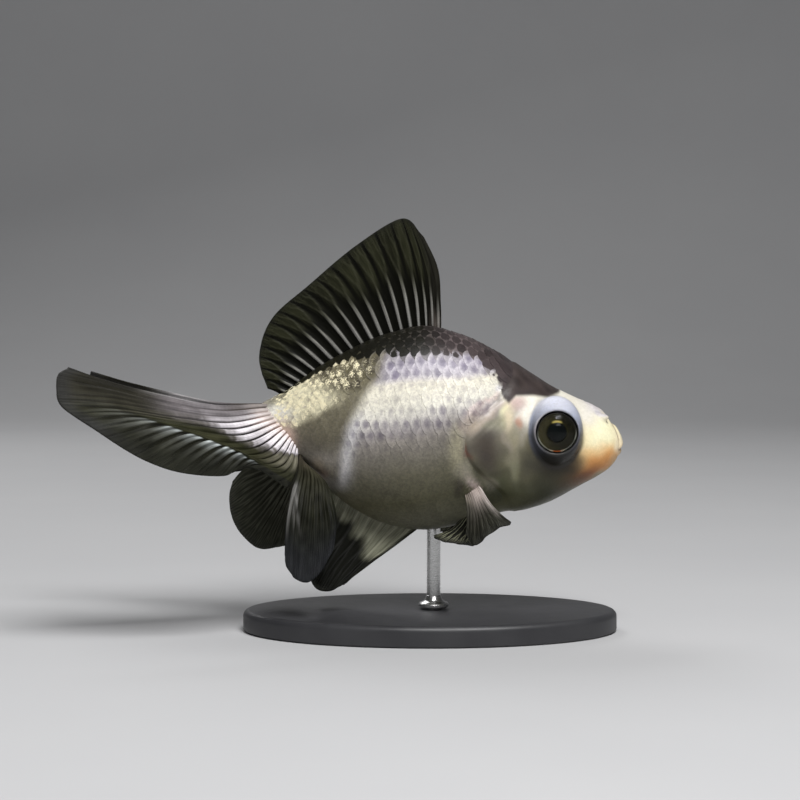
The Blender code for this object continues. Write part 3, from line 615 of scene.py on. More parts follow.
def snout_bumps(points):
    """Small soft bumps over the snout and round the nostrils."""
    bumps = np.random.default_rng(5)
    height = np.zeros(len(points))
    near = np.flatnonzero((points[:, 0] > 23.5) & (points[:, 2] > 0.0))
    for _ in range(BUMP_COUNT):
        spot_x, turn = bumps.uniform(24.2, 28.4), bumps.uniform(0.22, 0.78) * math.pi
        centre = body_surface(np.array(spot_x), np.array(turn))
        away = np.linalg.norm(points[near] - centre, axis=1)
        height[near] += bumps.uniform(0.04, 0.10) * np.exp(-(away / bumps.uniform(0.28, 0.45)) ** 2)
    return height


def make_skin():
    """One skin over body, head, gill covers, eye bulbs and nostril flaps."""
    skin = body_form()
    extras = [form(side) for form in (eye_bulb_form, nostril_form) for _, side in SIDES]
    active(skin)
    for extra in extras:
        extra.select_set(True)
    bpy.ops.object.join()
    outward(skin)
    apply_modifier(skin, "REMESH", mode="VOXEL", voxel_size=VOXEL * MM, adaptivity=0.0)
    apply_modifier(skin, "SMOOTH", factor=0.5, iterations=5)
    along, _, stretched, _ = eye_distance(on_fish(skin))
    fold = bell(stretched, 4.45, 0.75) * soft(9.6, 8.6, along) * soft(3.5, 5.0, along)
    group = weight_group(skin, "eye_fold", fold)
    apply_modifier(skin, "SMOOTH", factor=0.6, iterations=16, vertex_group=group)
    points = on_fish(skin)
    place_corners(skin, points + vertex_normals(skin) * (head_relief(points) + snout_bumps(points))[:, None])
    apply_modifier(skin, "SMOOTH", factor=0.4, iterations=2)
    smooth_shading(skin)
    skin.vertex_groups.clear()
    paint_skin(skin)
    skin.data.materials.clear()
    skin.data.materials.append(skin_finish())
    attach(skin, "root")
    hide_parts("head", "lower_jaw", "gill_cover_right", "gill_cover_left", "nostril_right",
                "nostril_left", "eye_bulb_right", "eye_bulb_left", "trunk", "tail_stalk")


def paint_skin(skin):
    """Colours of the skin: the bluish eye bulbs, with painted light on their tops and painted shade under
    them and at their rear; painted shade in the eye's cup, the folds round the bulbs and the nostril pits;
    the dark lines of the mouth; and an upper lip that is partly pale and partly painted highlight.
    """
    points = on_fish(skin)
    x, y, z = points.T
    along, away, stretched, local = eye_distance(points)
    height, rearward = local[:, 1] / BULB_HALF_HEIGHT, -local[:, 0]
    bulb = soft(4.65, 4.2, stretched) * soft(6.5, 8.0, along)
    rear_shade = soft(0.15, 0.75, rearward / 4.2) * soft(0.9, 0.3, np.abs(height))
    rim = soft(3.75, 3.45, away) * soft(9.8, 10.3, along)
    silver = (np.interp(height, (-0.7, -0.4, 0.0, 0.35, 0.6), (0.0, 0.08, 0.35, 0.7, 0.3))
              * (0.25 + 0.75 * soft(-0.6, 0.8, rearward / 3.4)))
    cup = soft(3.42, 3.30, away) * soft(10.95, 10.7, along) * soft(5.5, 6.5, along)
    crease = bell(stretched, 4.5, 0.28) * soft(6.0, 8.0, along) * soft(9.6, 8.8, along)
    slit, upper_lip, _ = mouth_lines(points)
    front = soft(*MOUTH_FADE, x)
    flap = soft(1.15, 0.8, spot_distance(points, NOSTRIL_FLAP, FLAP_REACH))
    paint(skin, "tone", layered(
        markings(points, 0.35),
        # The bulb's ladder: painted light on its top, painted shade on its underside.
        (ladder(height, BULB_LEVELS, BULB_TONES), bulb),
        # Bluish painted shade on the bulb's rear side.
        ((0.10, 0.11, 0.15), 0.35 * rear_shade * bulb),
        ((0.60, 0.55, 0.56), silver * rim),
        # Painted shade inside the eye's cup.
        ((0.02, 0.02, 0.018), cup),
        # Painted shade in the crease round the bulb's foot, strongest beneath.
        ((0.030, 0.026, 0.022), (0.25 + 0.6 * soft(0.1, -0.5, height)) * crease),
        ((0.16, 0.07, 0.045), 0.75 * bell(slit, 0.0, 0.15) * front * soft(2.6, 2.1, np.abs(y))),
        ((0.13, 0.035, 0.030), 0.80 * bell(upper_lip, 1.0, 0.07) * front * soft(-2.2, -0.6, z)),
        # Pale upper lip: partly its cream colour, partly painted highlight.
        ((0.96, 0.86, 0.66), 0.45 * soft(0.92, 0.7, upper_lip) * soft(0.1, 0.5, slit) * front),
        # Painted shade in the nostril pit.
        ((0.05, 0.03, 0.035), 0.9 * bell(spot_distance(points, NOSTRIL_PIT), 0.0, 0.36)),
        ((0.52, 0.49, 0.54), 0.62 * flap)))


# ---------------------------------------------------------------- materials


def add(tree, kind, settings=None, **inputs):
    """Add a node; an input takes a number, a colour or another node's output."""
    node = tree.nodes.new(kind)
    for key, value in (settings or {}).items():
        setattr(node, key, value)
    for key, value in inputs.items():
        socket = node.inputs[int(key[1:])] if key[1:].isdigit() else node.inputs[key.replace("_", " ")]
        if isinstance(value, bpy.types.NodeSocket):
            tree.links.new(value, socket)
        elif socket.type == "RGBA":
            socket.default_value = (*value, 1.0)
        else:
            socket.default_value = value
    return node


def maths(tree, operation, *values):
    """Output of a Math node."""
    return add(tree, "ShaderNodeMath", {"operation": operation},
               **{f"i{k}": value for k, value in enumerate(values)}).outputs[0]


def between(tree, value, low, high, to_low=0.0, to_high=1.0):
    """Output of a smooth Map Range node."""
    return add(tree, "ShaderNodeMapRange", {"interpolation_type": "SMOOTHSTEP"},
               i0=value, i1=low, i2=high, i3=to_low, i4=to_high).outputs[0]


def blend_colour(tree, amount, first, second, how="MIX"):
    """Output of a colour Mix node."""
    return add(tree, "ShaderNodeMix", {"data_type": "RGBA", "blend_type": how},
               i0=amount, i6=first, i7=second).outputs[2]


def stored(tree, name):
    """Attribute node of a piece's own stored values."""
    return add(tree, "ShaderNodeAttribute", {"attribute_name": name})


def object_place(tree, stretch=(1.0, 1.0, 1.0)):
    """Object coordinates in metres, stretched by the given factors."""
    place = add(tree, "ShaderNodeTexCoord").outputs["Object"]
    return add(tree, "ShaderNodeMapping", None, Vector=place, Scale=stretch).outputs[0]


def noise(tree, place, grain, detail=2.0, roughness=0.5):
    """Noise whose grain is given in millimetres."""
    return add(tree, "ShaderNodeTexNoise", None, Vector=place, Scale=1 / (grain * MM), Detail=detail,
               Roughness=roughness).outputs["Fac"]


def finish(name, **sockets):
    """A Principled material and its node tree; plain values go straight on the shader."""
    material = bpy.data.materials.new(name)
    material.use_nodes = True
    tree = material.node_tree
    shader = tree.nodes["Principled BSDF"]
    for key, value in sockets.items():
        shader.inputs[key.replace("_", " ")].default_value = value
    return material, tree, shader


def wire(tree, shader, **outputs):
    """Lead node outputs into the shader's inputs."""
    for key, output in outputs.items():
        tree.links.new(output, shader.inputs[key.replace("_", " ")])


def relief(tree, shader, height, strength, distance):
    """Bump of a height field; the distance is in millimetres."""
    bump = add(tree, "ShaderNodeBump", None, Height=height, Strength=strength, Distance=distance * MM)
    wire(tree, shader, Normal=bump.outputs[0])


def skin_finish():
    """Moist bare skin with fine dark and pale specks."""
    material, tree, shader = finish("moist_skin", Coat_Weight=0.06, Coat_Roughness=0.18,
                                    Specular_IOR_Level=0.3)
    place = object_place(tree)
    tone = stored(tree, "tone").outputs["Color"]
    fine = noise(tree, place, 0.35, 4.0, 0.6)
    broad = noise(tree, place, 2.2, 3.0)
    specks = between(tree, noise(tree, place, 0.22, 2.0), 0.60, 0.72)
    dust = between(tree, noise(tree, place, 0.5, 3.0, 0.7), 0.40, 0.62)
    colour = blend_colour(tree, maths(tree, "MULTIPLY", specks, 0.10), tone, (0.03, 0.028, 0.02))
    dusty = blend_colour(tree, dust, (0.92, 0.92, 0.90), (1.0, 1.0, 1.0))
    lively = blend_colour(tree, 1.0, colour, dusty, "MULTIPLY")
    glow = blend_colour(tree, between(tree, broad, 0.35, 0.7, 0.0, 0.16), lively,
                        (0.75, 0.68, 0.50), "SOFT_LIGHT")
    wire(tree, shader, Base_Color=glow, Roughness=between(tree, fine, 0.3, 0.7, 0.38, 0.54))
    relief(tree, shader, maths(tree, "ADD", fine, maths(tree, "MULTIPLY", broad, 0.8)), 0.25, 0.12)
    return material


# ---------------------------------------------------------------- scales

# Lines of scales round the body, and pitch along a line as (x, pitch).
SCALE_LINES = 44
SCALE_PITCH = ((-26.0, 0.86), (-21.0, 0.98), (-16.0, 1.18), (-6.0, 1.6), (14.0, 1.7))
DEEPEST_X, FULL_PITCH = -2.0, 1.6
# The coat's ends on the flank, its front end on the throat, and the bare margin behind the gill opening.
COAT_START, COAT_END, THROAT_START, GILL_MARGIN = 14.2, -25.2, 10.4, 1.3
SCALE_LENGTH, SCALE_WIDTH, SCALE_WALL, SCALE_DOME = 1.95, 1.06, 0.055, 0.045
SCALE_ROOT_DEPTH, SCALE_LIFT_FAINT, SCALE_LIFT_CRISP = 0.34, 0.12, 0.22
# The unwrap of the body behind OFBake: its start along the fish, its length, and half a scale's patch on it.
UNWRAP_START, UNWRAP_LENGTH, UNWRAP_PATCH = -30.0, 62.0, 0.0015
# Dusky middle and paler rim of the saddle's scales, from the rear forward.
DUSK_PLACES = (-22.0, -9.0, -1.0, 3.0, 6.0)
DUSK_TONES = ((0.014, 0.013, 0.006), (0.007, 0.0065, 0.003), (0.009, 0.008, 0.005), (0.042, 0.032, 0.032),
              (0.058, 0.044, 0.044))
RIM_PLACES = (-20.0, -9.0, -1.0, 4.0, 8.0, 11.0)
RIM_TONES = ((0.030, 0.028, 0.016), (0.026, 0.024, 0.013), (0.044, 0.038, 0.032), (0.125, 0.098, 0.097),
             (0.118, 0.092, 0.090), (0.058, 0.045, 0.045))


def line_angles():
    """Angle round the body for every line of scales, evenly spaced over the deepest section."""
    fine = np.linspace(0.0, 2 * math.pi, 721)
    ring = body_surface(np.full(len(fine), DEEPEST_X), fine)
    length = np.concatenate(([0.0], np.cumsum(np.linalg.norm(np.diff(ring, axis=0), axis=1))))
    lines = np.arange(-2, SCALE_LINES + 3)
    turns = np.interp((lines + 0.5) % SCALE_LINES / SCALE_LINES * length[-1], length, fine)
    turns[lines < 0] -= 2 * math.pi
    turns[lines >= SCALE_LINES] += 2 * math.pi
    return lines, turns


def scale_roots():
    """Line and place along the body of every scale's root, every second line half a scale on."""
    steps = [COAT_START]
    while steps[-1] > COAT_END:
        steps.append(steps[-1] - read_off(SCALE_PITCH, steps[-1]) / 2)
    lines, turns = line_angles()
    roots = []
    for line in range(SCALE_LINES):
        turn = np.interp(line, lines, turns)
        for x in steps[line % 2::2]:
            level = body_surface(np.array(x), np.array(turn))[2]
            front = gill_cut_x(level) + GILL_MARGIN
            if math.sin(turn) < -0.75:
                front = min(front, THROAT_START)
            if x < front:
                roots.append((line, x))
    return np.array(roots)


def scale_shape():
    """One closed scale: corners as (aside, along, layer) in a unit disc, and its faces."""
    bpy.ops.object.select_all(action="DESELECT")
    bpy.ops.mesh.primitive_grid_add(x_subdivisions=5, y_subdivisions=6, size=2.0)
    piece = bpy.context.object
    places = corners(piece)
    round_x = places[:, 0] * np.sqrt(1 - places[:, 1] ** 2 / 2)
    round_y = places[:, 1] * np.sqrt(1 - places[:, 0] ** 2 / 2)
    piece.data.vertices.foreach_set("co", np.stack((round_x, round_y, places[:, 2]), axis=1).ravel())
    apply_modifier(piece, "SOLIDIFY", thickness=1.0, offset=-1.0)
    shape = corners(piece)
    faces = [tuple(face.vertices) for face in piece.data.polygons]
    bpy.data.objects.remove(piece, do_unlink=True)
    return shape, faces


def scale_crispness(points):
    """How clearly scales stand out: sharp on the back and stalk, faint low on the flank."""
    flank = soft(-3.0, 4.5, points[:, 2] + 0.15 * (4.0 - points[:, 0]))
    stalk = stalk_share(points) * (1 - gold_share(points))
    return np.clip((0.10 + 0.90 * flank) * (1 - 0.65 * stalk), 0.08, 1.0)


def make_scales(name, side, shape, faces, roots):
    """The scales of one flank, each a thin plate that lies on the skin and laps over the next."""
    lines, turns = line_angles()
    mine = roots[np.cos(np.interp(roots[:, 0], lines, turns)) * side > 0]
    root_line, root_x = mine.T
    root_turn = np.interp(root_line, lines, turns)
    count, stride = len(mine), len(shape)
    pitch = read_off(SCALE_PITCH, root_x)
    swing = rng.normal(0, 0.035, count)
    stretch = rng.normal(1.0, 0.03, count)
    tip = rng.uniform(-1.4, 1.4, count)
    aside, along, layer = shape[:, 0], (shape[:, 1] + 1) / 2, -shape[:, 2]
    span = (SCALE_LENGTH * pitch * stretch)[:, None]
    x = root_x[:, None] - along * span + aside * span * swing[:, None]
    x = np.maximum(x, TAIL_END + 0.1)
    line = root_line[:, None] + aside * SCALE_WIDTH + (along - 0.5) * swing[:, None]
    turn = np.interp(line, lines, turns)
    small = np.clip(pitch / FULL_PITCH, 0.55, 1.0)[:, None]
    glitter = gold_share(body_surface(root_x - 0.7 * pitch, root_turn))[:, None]
    middle = body_surface(root_x - 1.3 * pitch, root_turn)
    crisp = scale_crispness(middle)[:, None]
    radial = aside ** 2 + shape[:, 1] ** 2
    rise = (-SCALE_ROOT_DEPTH + (SCALE_LIFT_FAINT + SCALE_LIFT_CRISP * crisp) * along
            + SCALE_DOME * (1 - radial) - layer * SCALE_WALL * (0.4 + 0.6 * crisp))
    lean = aside * (0.008 + 0.05 * glitter) * tip[:, None] * crisp
    height = (rise + lean) * small - (1 - small) * 0.06
    points = body_surface(x, turn) + body_normals(x, turn) * height[..., None]
    mesh = bpy.data.meshes.new(name)
    mesh.from_pydata((points.reshape(-1, 3) + (0, 0, BODY_LIFT)) * MM, [],
                     [tuple(corner + i * stride for corner in face) for i in range(count) for face in faces])
    piece = put_in_scene(name, mesh)
    outward(piece)
    smooth_shading(piece, 60)
    paint_scales(piece, points, middle, count, stride)
    lay_map(piece, "ScaleMap", np.tile(shape[:, 0] / 2 + 0.5, count), np.tile(along, count))
    root_u = (root_x - UNWRAP_START) / UNWRAP_LENGTH
    root_v = (root_turn % (2 * math.pi)) / (2 * math.pi)
    lay_map(piece, "OFBake", (root_u[:, None] + aside * UNWRAP_PATCH).ravel(),
            (root_v[:, None] + shape[:, 1] * UNWRAP_PATCH).ravel())
    piece.data.materials.append(SCALE_FINISH)
    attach(piece, "root")


def paint_scales(piece, points, middle, count, stride):
    """Colours of the scales: pale plates, each with a dusky middle that fills it on the saddle, and in the
    glittering strip bright gold flecks that are partly painted glints.
    """
    x, z = middle[:, 0], middle[:, 2]
    depth = z - read_off(SADDLE_EDGE, x) + rng.normal(0, 0.10, count)
    above = points[..., 2] - read_off(SADDLE_EDGE, points[..., 0])
    stalk, gold, forward = stalk_share(middle), gold_share(middle), tarnish(x, z)
    fullest = np.interp(x, (-20.0, -6.0, 1.0, 8.0, 10.5), (0.92, 0.86, 0.72, 0.74, 1.0))[:, None]
    dusk = np.maximum(soft(-0.35, 0.60, depth)[:, None], soft(0.3, 1.1, above))
    dusk = np.minimum(dusk, soft(-0.75, -0.15, above)) * fullest
    inside = np.maximum(soft(-0.2, 1.3, depth)[:, None], soft(0.35, 0.8, above))
    shade = ladder(x, DUSK_PLACES, DUSK_TONES) * (1 + 0.18 * rng.normal(0, 1, count))[:, None]
    rim = ladder(x, RIM_PLACES, RIM_TONES)[:, None, :]
    tone = tint(markings(points, 0.5, np.zeros(points.shape[:2])), rim, inside)
    tone *= (1 + 0.06 * rng.normal(0, 1, count))[:, None, None]
    sparkle = rng.uniform(0, 1, count)
    tone *= (1 - (0.32 + 0.20 * forward) * gold * (1 - sparkle ** 0.6))[:, None, None]
    flank = (1 - stalk) * soft(0.6, -0.4, depth)
    level = z + 0.2 * (4.0 - x) * soft(8.5, 4.0, z)
    spot = flank * (0.34 + 0.36 * bell(level, 3.6, 1.8) + 0.40 * soft(8.3, 9.4, z)
                    - 0.18 * soft(1.0, -2.5, level)) + 0.08 * stalk * (1 - gold)
    spot = np.maximum(spot * np.clip(rng.normal(0.95, 0.20, count), 0.2, 1.3),
                      gold * (0.62 + 0.38 * forward) * rng.uniform(0.2, 1.0, count))
    foremost = soft(-12.5, -7.5, x)
    # Strength of the bright gold flecks: partly the strip's own gold, partly painted glints on the scales
    # that sparkle.
    gilt_glint_share = ((0.10 + 0.90 * sparkle ** 1.5) * (1 - forward)
            + (0.15 + 0.38 * sparkle) * forward * (1 - 0.3 * foremost))
    edge = ((0.04 + (0.21 + 0.40 * soft(8.3, 9.6, z)) * soft(0.8, -0.5, depth)) * (1 - 0.6 * gold)
            * scale_crispness(middle))
    paint(piece, "tone", np.clip(tone, 0, 1).reshape(-1, 3))
    paint(piece, "dusk", np.clip(dusk, 0, 1).ravel())
    for layer, values in (("shade", shade), ("spot", np.clip(spot, 0, 1)),
                          ("fleck", gold * soft(0.5, -0.3, depth) * gilt_glint_share),
                          ("shift", rng.uniform(-0.5, 0.5, count)),
                          ("glint", gold * sparkle * soft(0.6, -0.4, depth)), ("edge", edge)):
        paint(piece, layer, np.repeat(values, stride, axis=0))


def away_from(tree, aside, along, centre, half_length, half_width):
    """Distance from a place on a scale, 1 at the border of an ellipse round it."""
    across = maths(tree, "DIVIDE", aside, half_width)
    lengthwise = maths(tree, "DIVIDE", maths(tree, "SUBTRACT", along, centre), half_length)
    return maths(tree, "SQRT", maths(tree, "ADD", maths(tree, "MULTIPLY", across, across),
                                     maths(tree, "MULTIPLY", lengthwise, lengthwise)))


def scale_finish():
    """Pearly scales: a dark spot at the root, pale growth rings, a thin clear rim, gold where it glints, with
    bright gold kernels that are partly painted glints.
    """
    material, tree, shader = finish("pearly_scale", Coat_Weight=0.06, Coat_Roughness=0.2,
                                    Specular_IOR_Level=0.28)
    layout = add(tree, "ShaderNodeUVMap", {"uv_map": "ScaleMap"}).outputs[0]
    parts = add(tree, "ShaderNodeSeparateXYZ", None, i0=layout)
    aside = maths(tree, "MULTIPLY_ADD", parts.outputs[0], 2.0, -1.0)
    along = maths(tree, "MULTIPLY_ADD", parts.outputs[1], 2.0, -1.0)
    radial = maths(tree, "SQRT", maths(tree, "ADD", maths(tree, "POWER", aside, 2.0),
                                       maths(tree, "POWER", along, 2.0)))
    spot_d = away_from(tree, aside, along, 0.40, 0.30, 0.34)
    dusk_d = away_from(tree, aside, along, 0.62, 0.45, 0.46)
    place = object_place(tree)
    fine = noise(tree, place, 0.3, 3.0, 0.6)
    spot_size = stored(tree, "spot").outputs["Fac"]
    ragged = maths(tree, "MULTIPLY_ADD", fine, 0.9, maths(tree, "SUBTRACT", spot_d, 0.45))
    ragged = maths(tree, "MULTIPLY_ADD", spot_size, -1.1, ragged)
    spot = maths(tree, "MULTIPLY", between(tree, ragged, 0.95, -0.45),
                 between(tree, spot_size, 0.0, 0.9, 0.08, 0.85))
    tone = stored(tree, "tone").outputs["Color"]
    dark = blend_colour(tree, 1.0, tone, (0.36, 0.34, 0.43), "MULTIPLY")
    colour = blend_colour(tree, spot, tone, dark)
    rim = between(tree, radial, 0.70, 0.97)
    rim_share = maths(tree, "MULTIPLY", rim, stored(tree, "edge").outputs["Fac"])
    fleck = stored(tree, "fleck").outputs["Fac"]
    grit = noise(tree, place, 0.26, 3.0, 0.7)
    pushed = maths(tree, "ADD", aside, stored(tree, "shift").outputs["Fac"])
    # The bright gold kernels: partly the strip's gold, partly painted glint.
    gilt_and_glint = maths(tree, "MULTIPLY_ADD", away_from(tree, pushed, along, 0.62, 0.34, 0.45), 0.75,
                 maths(tree, "MULTIPLY", grit, 4.4))
    gilt_and_glint = maths(tree, "MULTIPLY_ADD", fleck, -1.3, gilt_and_glint)
    gilt_and_glint = maths(tree, "MULTIPLY", between(tree, gilt_and_glint, 2.5, 1.95), between(tree, fleck, 0.0, 0.35))
    colour = blend_colour(tree, gilt_and_glint, colour, (1.0, 0.91, 0.62))
    pale = blend_colour(tree, 0.6, tone, (0.62, 0.58, 0.56), "SCREEN")
    colour = blend_colour(tree, maths(tree, "MULTIPLY", rim_share, 0.6), colour, pale)
    reach = maths(tree, "MULTIPLY_ADD", stored(tree, "dusk").outputs["Fac"], 2.4, -0.62)
    dusk_edge = maths(tree, "SUBTRACT", maths(tree, "MULTIPLY_ADD", fine, 0.5, dusk_d), 0.25)
    dusky = between(tree, maths(tree, "SUBTRACT", dusk_edge, reach), 0.18, -0.18)
    colour = blend_colour(tree, dusky, colour, stored(tree, "shade").outputs["Color"])
    dust = between(tree, noise(tree, place, 0.45, 3.0, 0.7), 0.38, 0.62)
    dusty = blend_colour(tree, dust, (0.77, 0.77, 0.79), (1.0, 1.0, 1.0))
    colour = blend_colour(tree, 1.0, colour, dusty, "MULTIPLY")
    glint = maths(tree, "MULTIPLY", stored(tree, "glint").outputs["Fac"], between(tree, spot_d, 0.6, 1.3))
    rough = maths(tree, "MULTIPLY_ADD", glint, -0.16, between(tree, fine, 0.3, 0.7, 0.40, 0.56))
    wire(tree, shader, Base_Color=colour, Metallic=maths(tree, "MULTIPLY", glint, 0.18), Roughness=rough)
    rings = maths(tree, "SINE", maths(tree, "MULTIPLY", radial, 46.0))
    spread = maths(tree, "ARCTAN2", aside, maths(tree, "ADD", along, 0.55))
    furrows = maths(tree, "SINE", maths(tree, "MULTIPLY", spread, 34.0))
    height = maths(tree, "MULTIPLY_ADD", rings, 0.25, maths(tree, "MULTIPLY_ADD", furrows, 0.3, fine))
    relief(tree, shader, height, 0.25, 0.05)
    return material


SCALE_FINISH = scale_finish()


def make_coat():
    """Scales over trunk and tail stalk, one piece for each flank."""
    shape, faces = scale_shape()
    roots = scale_roots()
    for name, side in SIDES:
        make_scales("scale_coat_" + name, side, shape, faces, roots)


# ---------------------------------------------------------------- fins

# Guide rays of the fins, root to tip, as points (x, y, z) on the fish. Paired fins: the right side.
DORSAL_RAYS = (
    ((1.8, 0.0, 15.0), (1.7, 0.0, 20.6), (1.2, 0.0, 26.2), (-1.6, 0.0, 32.2)),
    ((-1.2, 0.0, 15.2), (-1.8, 0.0, 22.0), (-3.1, 0.0, 28.4), (-4.8, 0.0, 33.9)),
    ((-5.4, 0.0, 14.6), (-7.5, 0.0, 21.0), (-9.8, 0.0, 26.3), (-11.9, 0.0, 29.6)),
    ((-10.3, 0.0, 13.2), (-13.6, 0.0, 18.1), (-16.8, 0.0, 21.8), (-19.2, 0.0, 23.5)),
    ((-15.2, 0.0, 10.7), (-19.0, 0.0, 14.4), (-22.3, 0.0, 16.8), (-25.2, 0.0, 18.1)),
    ((-19.4, 0.0, 8.1), (-22.4, 0.0, 10.0), (-25.0, 0.0, 11.4), (-27.3, 0.0, 12.2)),
    ((-22.6, 0.0, 5.6), (-23.8, 0.0, 5.9), (-25.0, 0.0, 6.5), (-26.2, 0.0, 6.9)),
)
TAIL_UPPER_RIGHT = (
    ((-26.5, -1.0, 4.3), (-33.9, -4.5, 4.4), (-42.1, -8.5, 6.4),
     (-49.9, -12.3, 8.7), (-57.2, -15.0, 11.3)),
    ((-25.8, -1.5, 3.3), (-32.7, -7.0, 3.0), (-41.1, -12.0, 4.5),
     (-49.0, -16.5, 6.6), (-56.7, -20.0, 7.7)),
    ((-25.2, -2.0, 2.4), (-31.5, -8.8, 1.6), (-39.1, -14.2, 2.8),
     (-47.4, -18.5, 4.5), (-55.3, -21.3, 4.9)),
    ((-24.5, -2.4, 1.5), (-29.7, -9.8, 0.1), (-35.6, -15.0, 1.0),
     (-42.2, -19.3, 2.2), (-49.4, -21.8, 0.7)),
    ((-23.9, -2.7, 0.5), (-27.5, -10.2, -1.3), (-31.8, -14.8, -1.3),
     (-36.2, -18.6, 0.4), (-43.1, -21.0, -3.1)),
    ((-23.1, -2.9, -0.4), (-25.5, -10.0, -2.6), (-28.7, -13.8, -2.9),
     (-32.1, -17.2, -1.4), (-37.7, -19.2, -5.1)),
    ((-22.4, -3.0, -1.4), (-23.8, -9.2, -3.6), (-26.3, -12.2, -4.1),
     (-28.7, -15.0, -3.0), (-31.4, -16.8, -5.7)),
    ((-21.8, -3.0, -2.3), (-22.4, -7.8, -4.5), (-23.9, -10.2, -5.4),
     (-25.8, -12.2, -4.9), (-27.8, -13.4, -4.6)),
    ((-21.3, -3.0, -3.3), (-21.0, -6.0, -5.1), (-21.4, -8.0, -6.7),
     (-22.0, -9.2, -7.7), (-22.4, -9.8, -8.4)),
)
FAR_LOBE_DROP, FAR_LOBE_SWING = 0.16, 0.0025
TAIL_LOWER_RIGHT = (
    ((-21.0, -2.6, -4.1), (-20.9, -4.8, -6.3), (-21.8, -7.4, -9.1),
     (-22.6, -9.8, -13.9), (-22.7, -11.0, -19.7)),
    ((-20.7, -2.4, -4.4), (-19.8, -5.0, -6.6), (-20.3, -8.8, -10.5),
     (-21.0, -11.0, -15.9), (-21.2, -12.4, -22.0)),
    ((-20.4, -2.2, -4.8), (-18.5, -5.0, -6.9), (-18.3, -8.6, -10.7),
     (-18.5, -11.0, -16.2), (-18.8, -12.3, -22.6)),
    ((-20.1, -1.9, -5.3), (-17.5, -4.8, -7.4), (-16.6, -7.8, -10.8),
     (-16.0, -9.8, -15.4), (-16.3, -11.0, -20.0)),
    ((-19.6, -1.5, -5.8), (-16.7, -4.4, -8.1), (-15.3, -6.8, -10.7),
     (-14.8, -8.4, -13.4), (-15.0, -9.0, -16.5)),
)
TAIL_LOWER_LEFT = (
    ((-21.2, 2.3, -4.7), (-25.7, 6.7, -5.5), (-30.0, 9.2, -6.5), (-32.8, 10.2, -9.4)),
    ((-20.9, 2.2, -5.1), (-25.2, 7.2, -8.6), (-30.2, 9.8, -13.0), (-32.7, 10.8, -14.6)),
    ((-20.8, 2.1, -5.3), (-23.8, 7.0, -10.9), (-27.5, 9.5, -16.9), (-29.3, 10.4, -19.5)),
    ((-20.4, 1.8, -5.7), (-22.4, 6.4, -11.7), (-24.5, 8.6, -17.7), (-25.4, 9.6, -19.9)),
    ((-20.1, 1.4, -6.0), (-21.1, 5.4, -11.6), (-21.8, 7.5, -16.7), (-22.2, 8.5, -18.7)),
)
ANAL_RAYS = (
    ((-2.2, -0.9, -15.8), (-5.8, -2.0, -18.4), (-9.6, -3.2, -21.0), (-13.1, -4.2, -23.4)),
    ((-5.9, -0.9, -14.0), (-9.4, -2.2, -18.1), (-12.8, -3.6, -21.9), (-15.3, -4.6, -24.9)),
    ((-9.8, -0.9, -11.9), (-12.6, -2.0, -16.8), (-15.8, -3.2, -21.0), (-18.0, -4.0, -24.9)),
    ((-13.4, -0.9, -9.5), (-15.2, -1.6, -13.9), (-17.4, -2.4, -18.2), (-19.6, -3.0, -22.0)),
    ((-16.6, -0.9, -7.4), (-17.3, -1.3, -10.9), (-18.7, -1.8, -14.2), (-20.3, -2.2, -17.4)),
)
PELVIC_RAYS = (
    ((7.6, -4.9, -12.2), (7.6, -6.2, -14.8), (7.4, -7.0, -16.4), (7.0, -7.6, -17.6)),
    ((7.1, -4.9, -12.3), (6.3, -6.4, -14.9), (5.3, -7.0, -16.5), (4.5, -7.4, -17.3)),
    ((6.6, -4.7, -12.4), (4.7, -6.0, -14.8), (3.1, -6.6, -16.1), (1.8, -6.8, -16.9)),
    ((6.2, -4.4, -12.5), (3.8, -5.0, -14.8), (1.9, -5.3, -15.8), (0.3, -5.4, -16.3)),
)
PECTORAL_RAYS = (
    ((7.3, -8.8, -7.4), (9.1, -12.3, -10.2), (10.9, -14.3, -12.0), (12.5, -15.8, -13.1)),
    ((6.9, -8.8, -7.8), (8.5, -12.6, -10.9), (9.7, -14.5, -12.7), (10.4, -15.4, -13.9)),
    ((6.3, -8.7, -8.2), (7.6, -12.4, -11.6), (8.1, -14.0, -13.6), (8.5, -14.6, -15.3)),
    ((5.8, -8.5, -8.6), (6.7, -11.9, -12.1), (6.8, -13.0, -14.7), (6.8, -13.3, -16.8)),
    ((5.3, -8.3, -8.9), (5.6, -11.0, -11.5), (5.6, -11.8, -13.7), (5.4, -12.0, -15.4)),
)
# Steps across the band of one ray, height of a ray over the membrane, and depth of the pleats between rays.
CELL_STEPS, RAY_HEIGHT, PLEAT_DEPTH = 14, 0.16, 0.10


def mirrored(rays):
    """The same guide rays on the other side of the fish."""
    return tuple(tuple((x, -y, z) for x, y, z in ray) for ray in rays)


def hanging(rays):
    """The upper lobe on the left side, which swings back and hangs lower the farther out it is."""
    root_y = rays[-1][0][1]
    return tuple(tuple((x - FAR_LOBE_SWING * y * y, -y, z + FAR_LOBE_DROP * min(y - root_y, 0.0))
                       for x, y, z in ray) for ray in rays)


def sheet_points(rays, across, along):
    """Points of a fin's middle sheet."""
    rays = np.asarray(rays)
    over = smooth_curve(np.eye(rays.shape[0]), across)
    out = smooth_curve(np.eye(rays.shape[1]), along)
    return np.einsum("ni,nj,ijk->nk", over, out, rays)


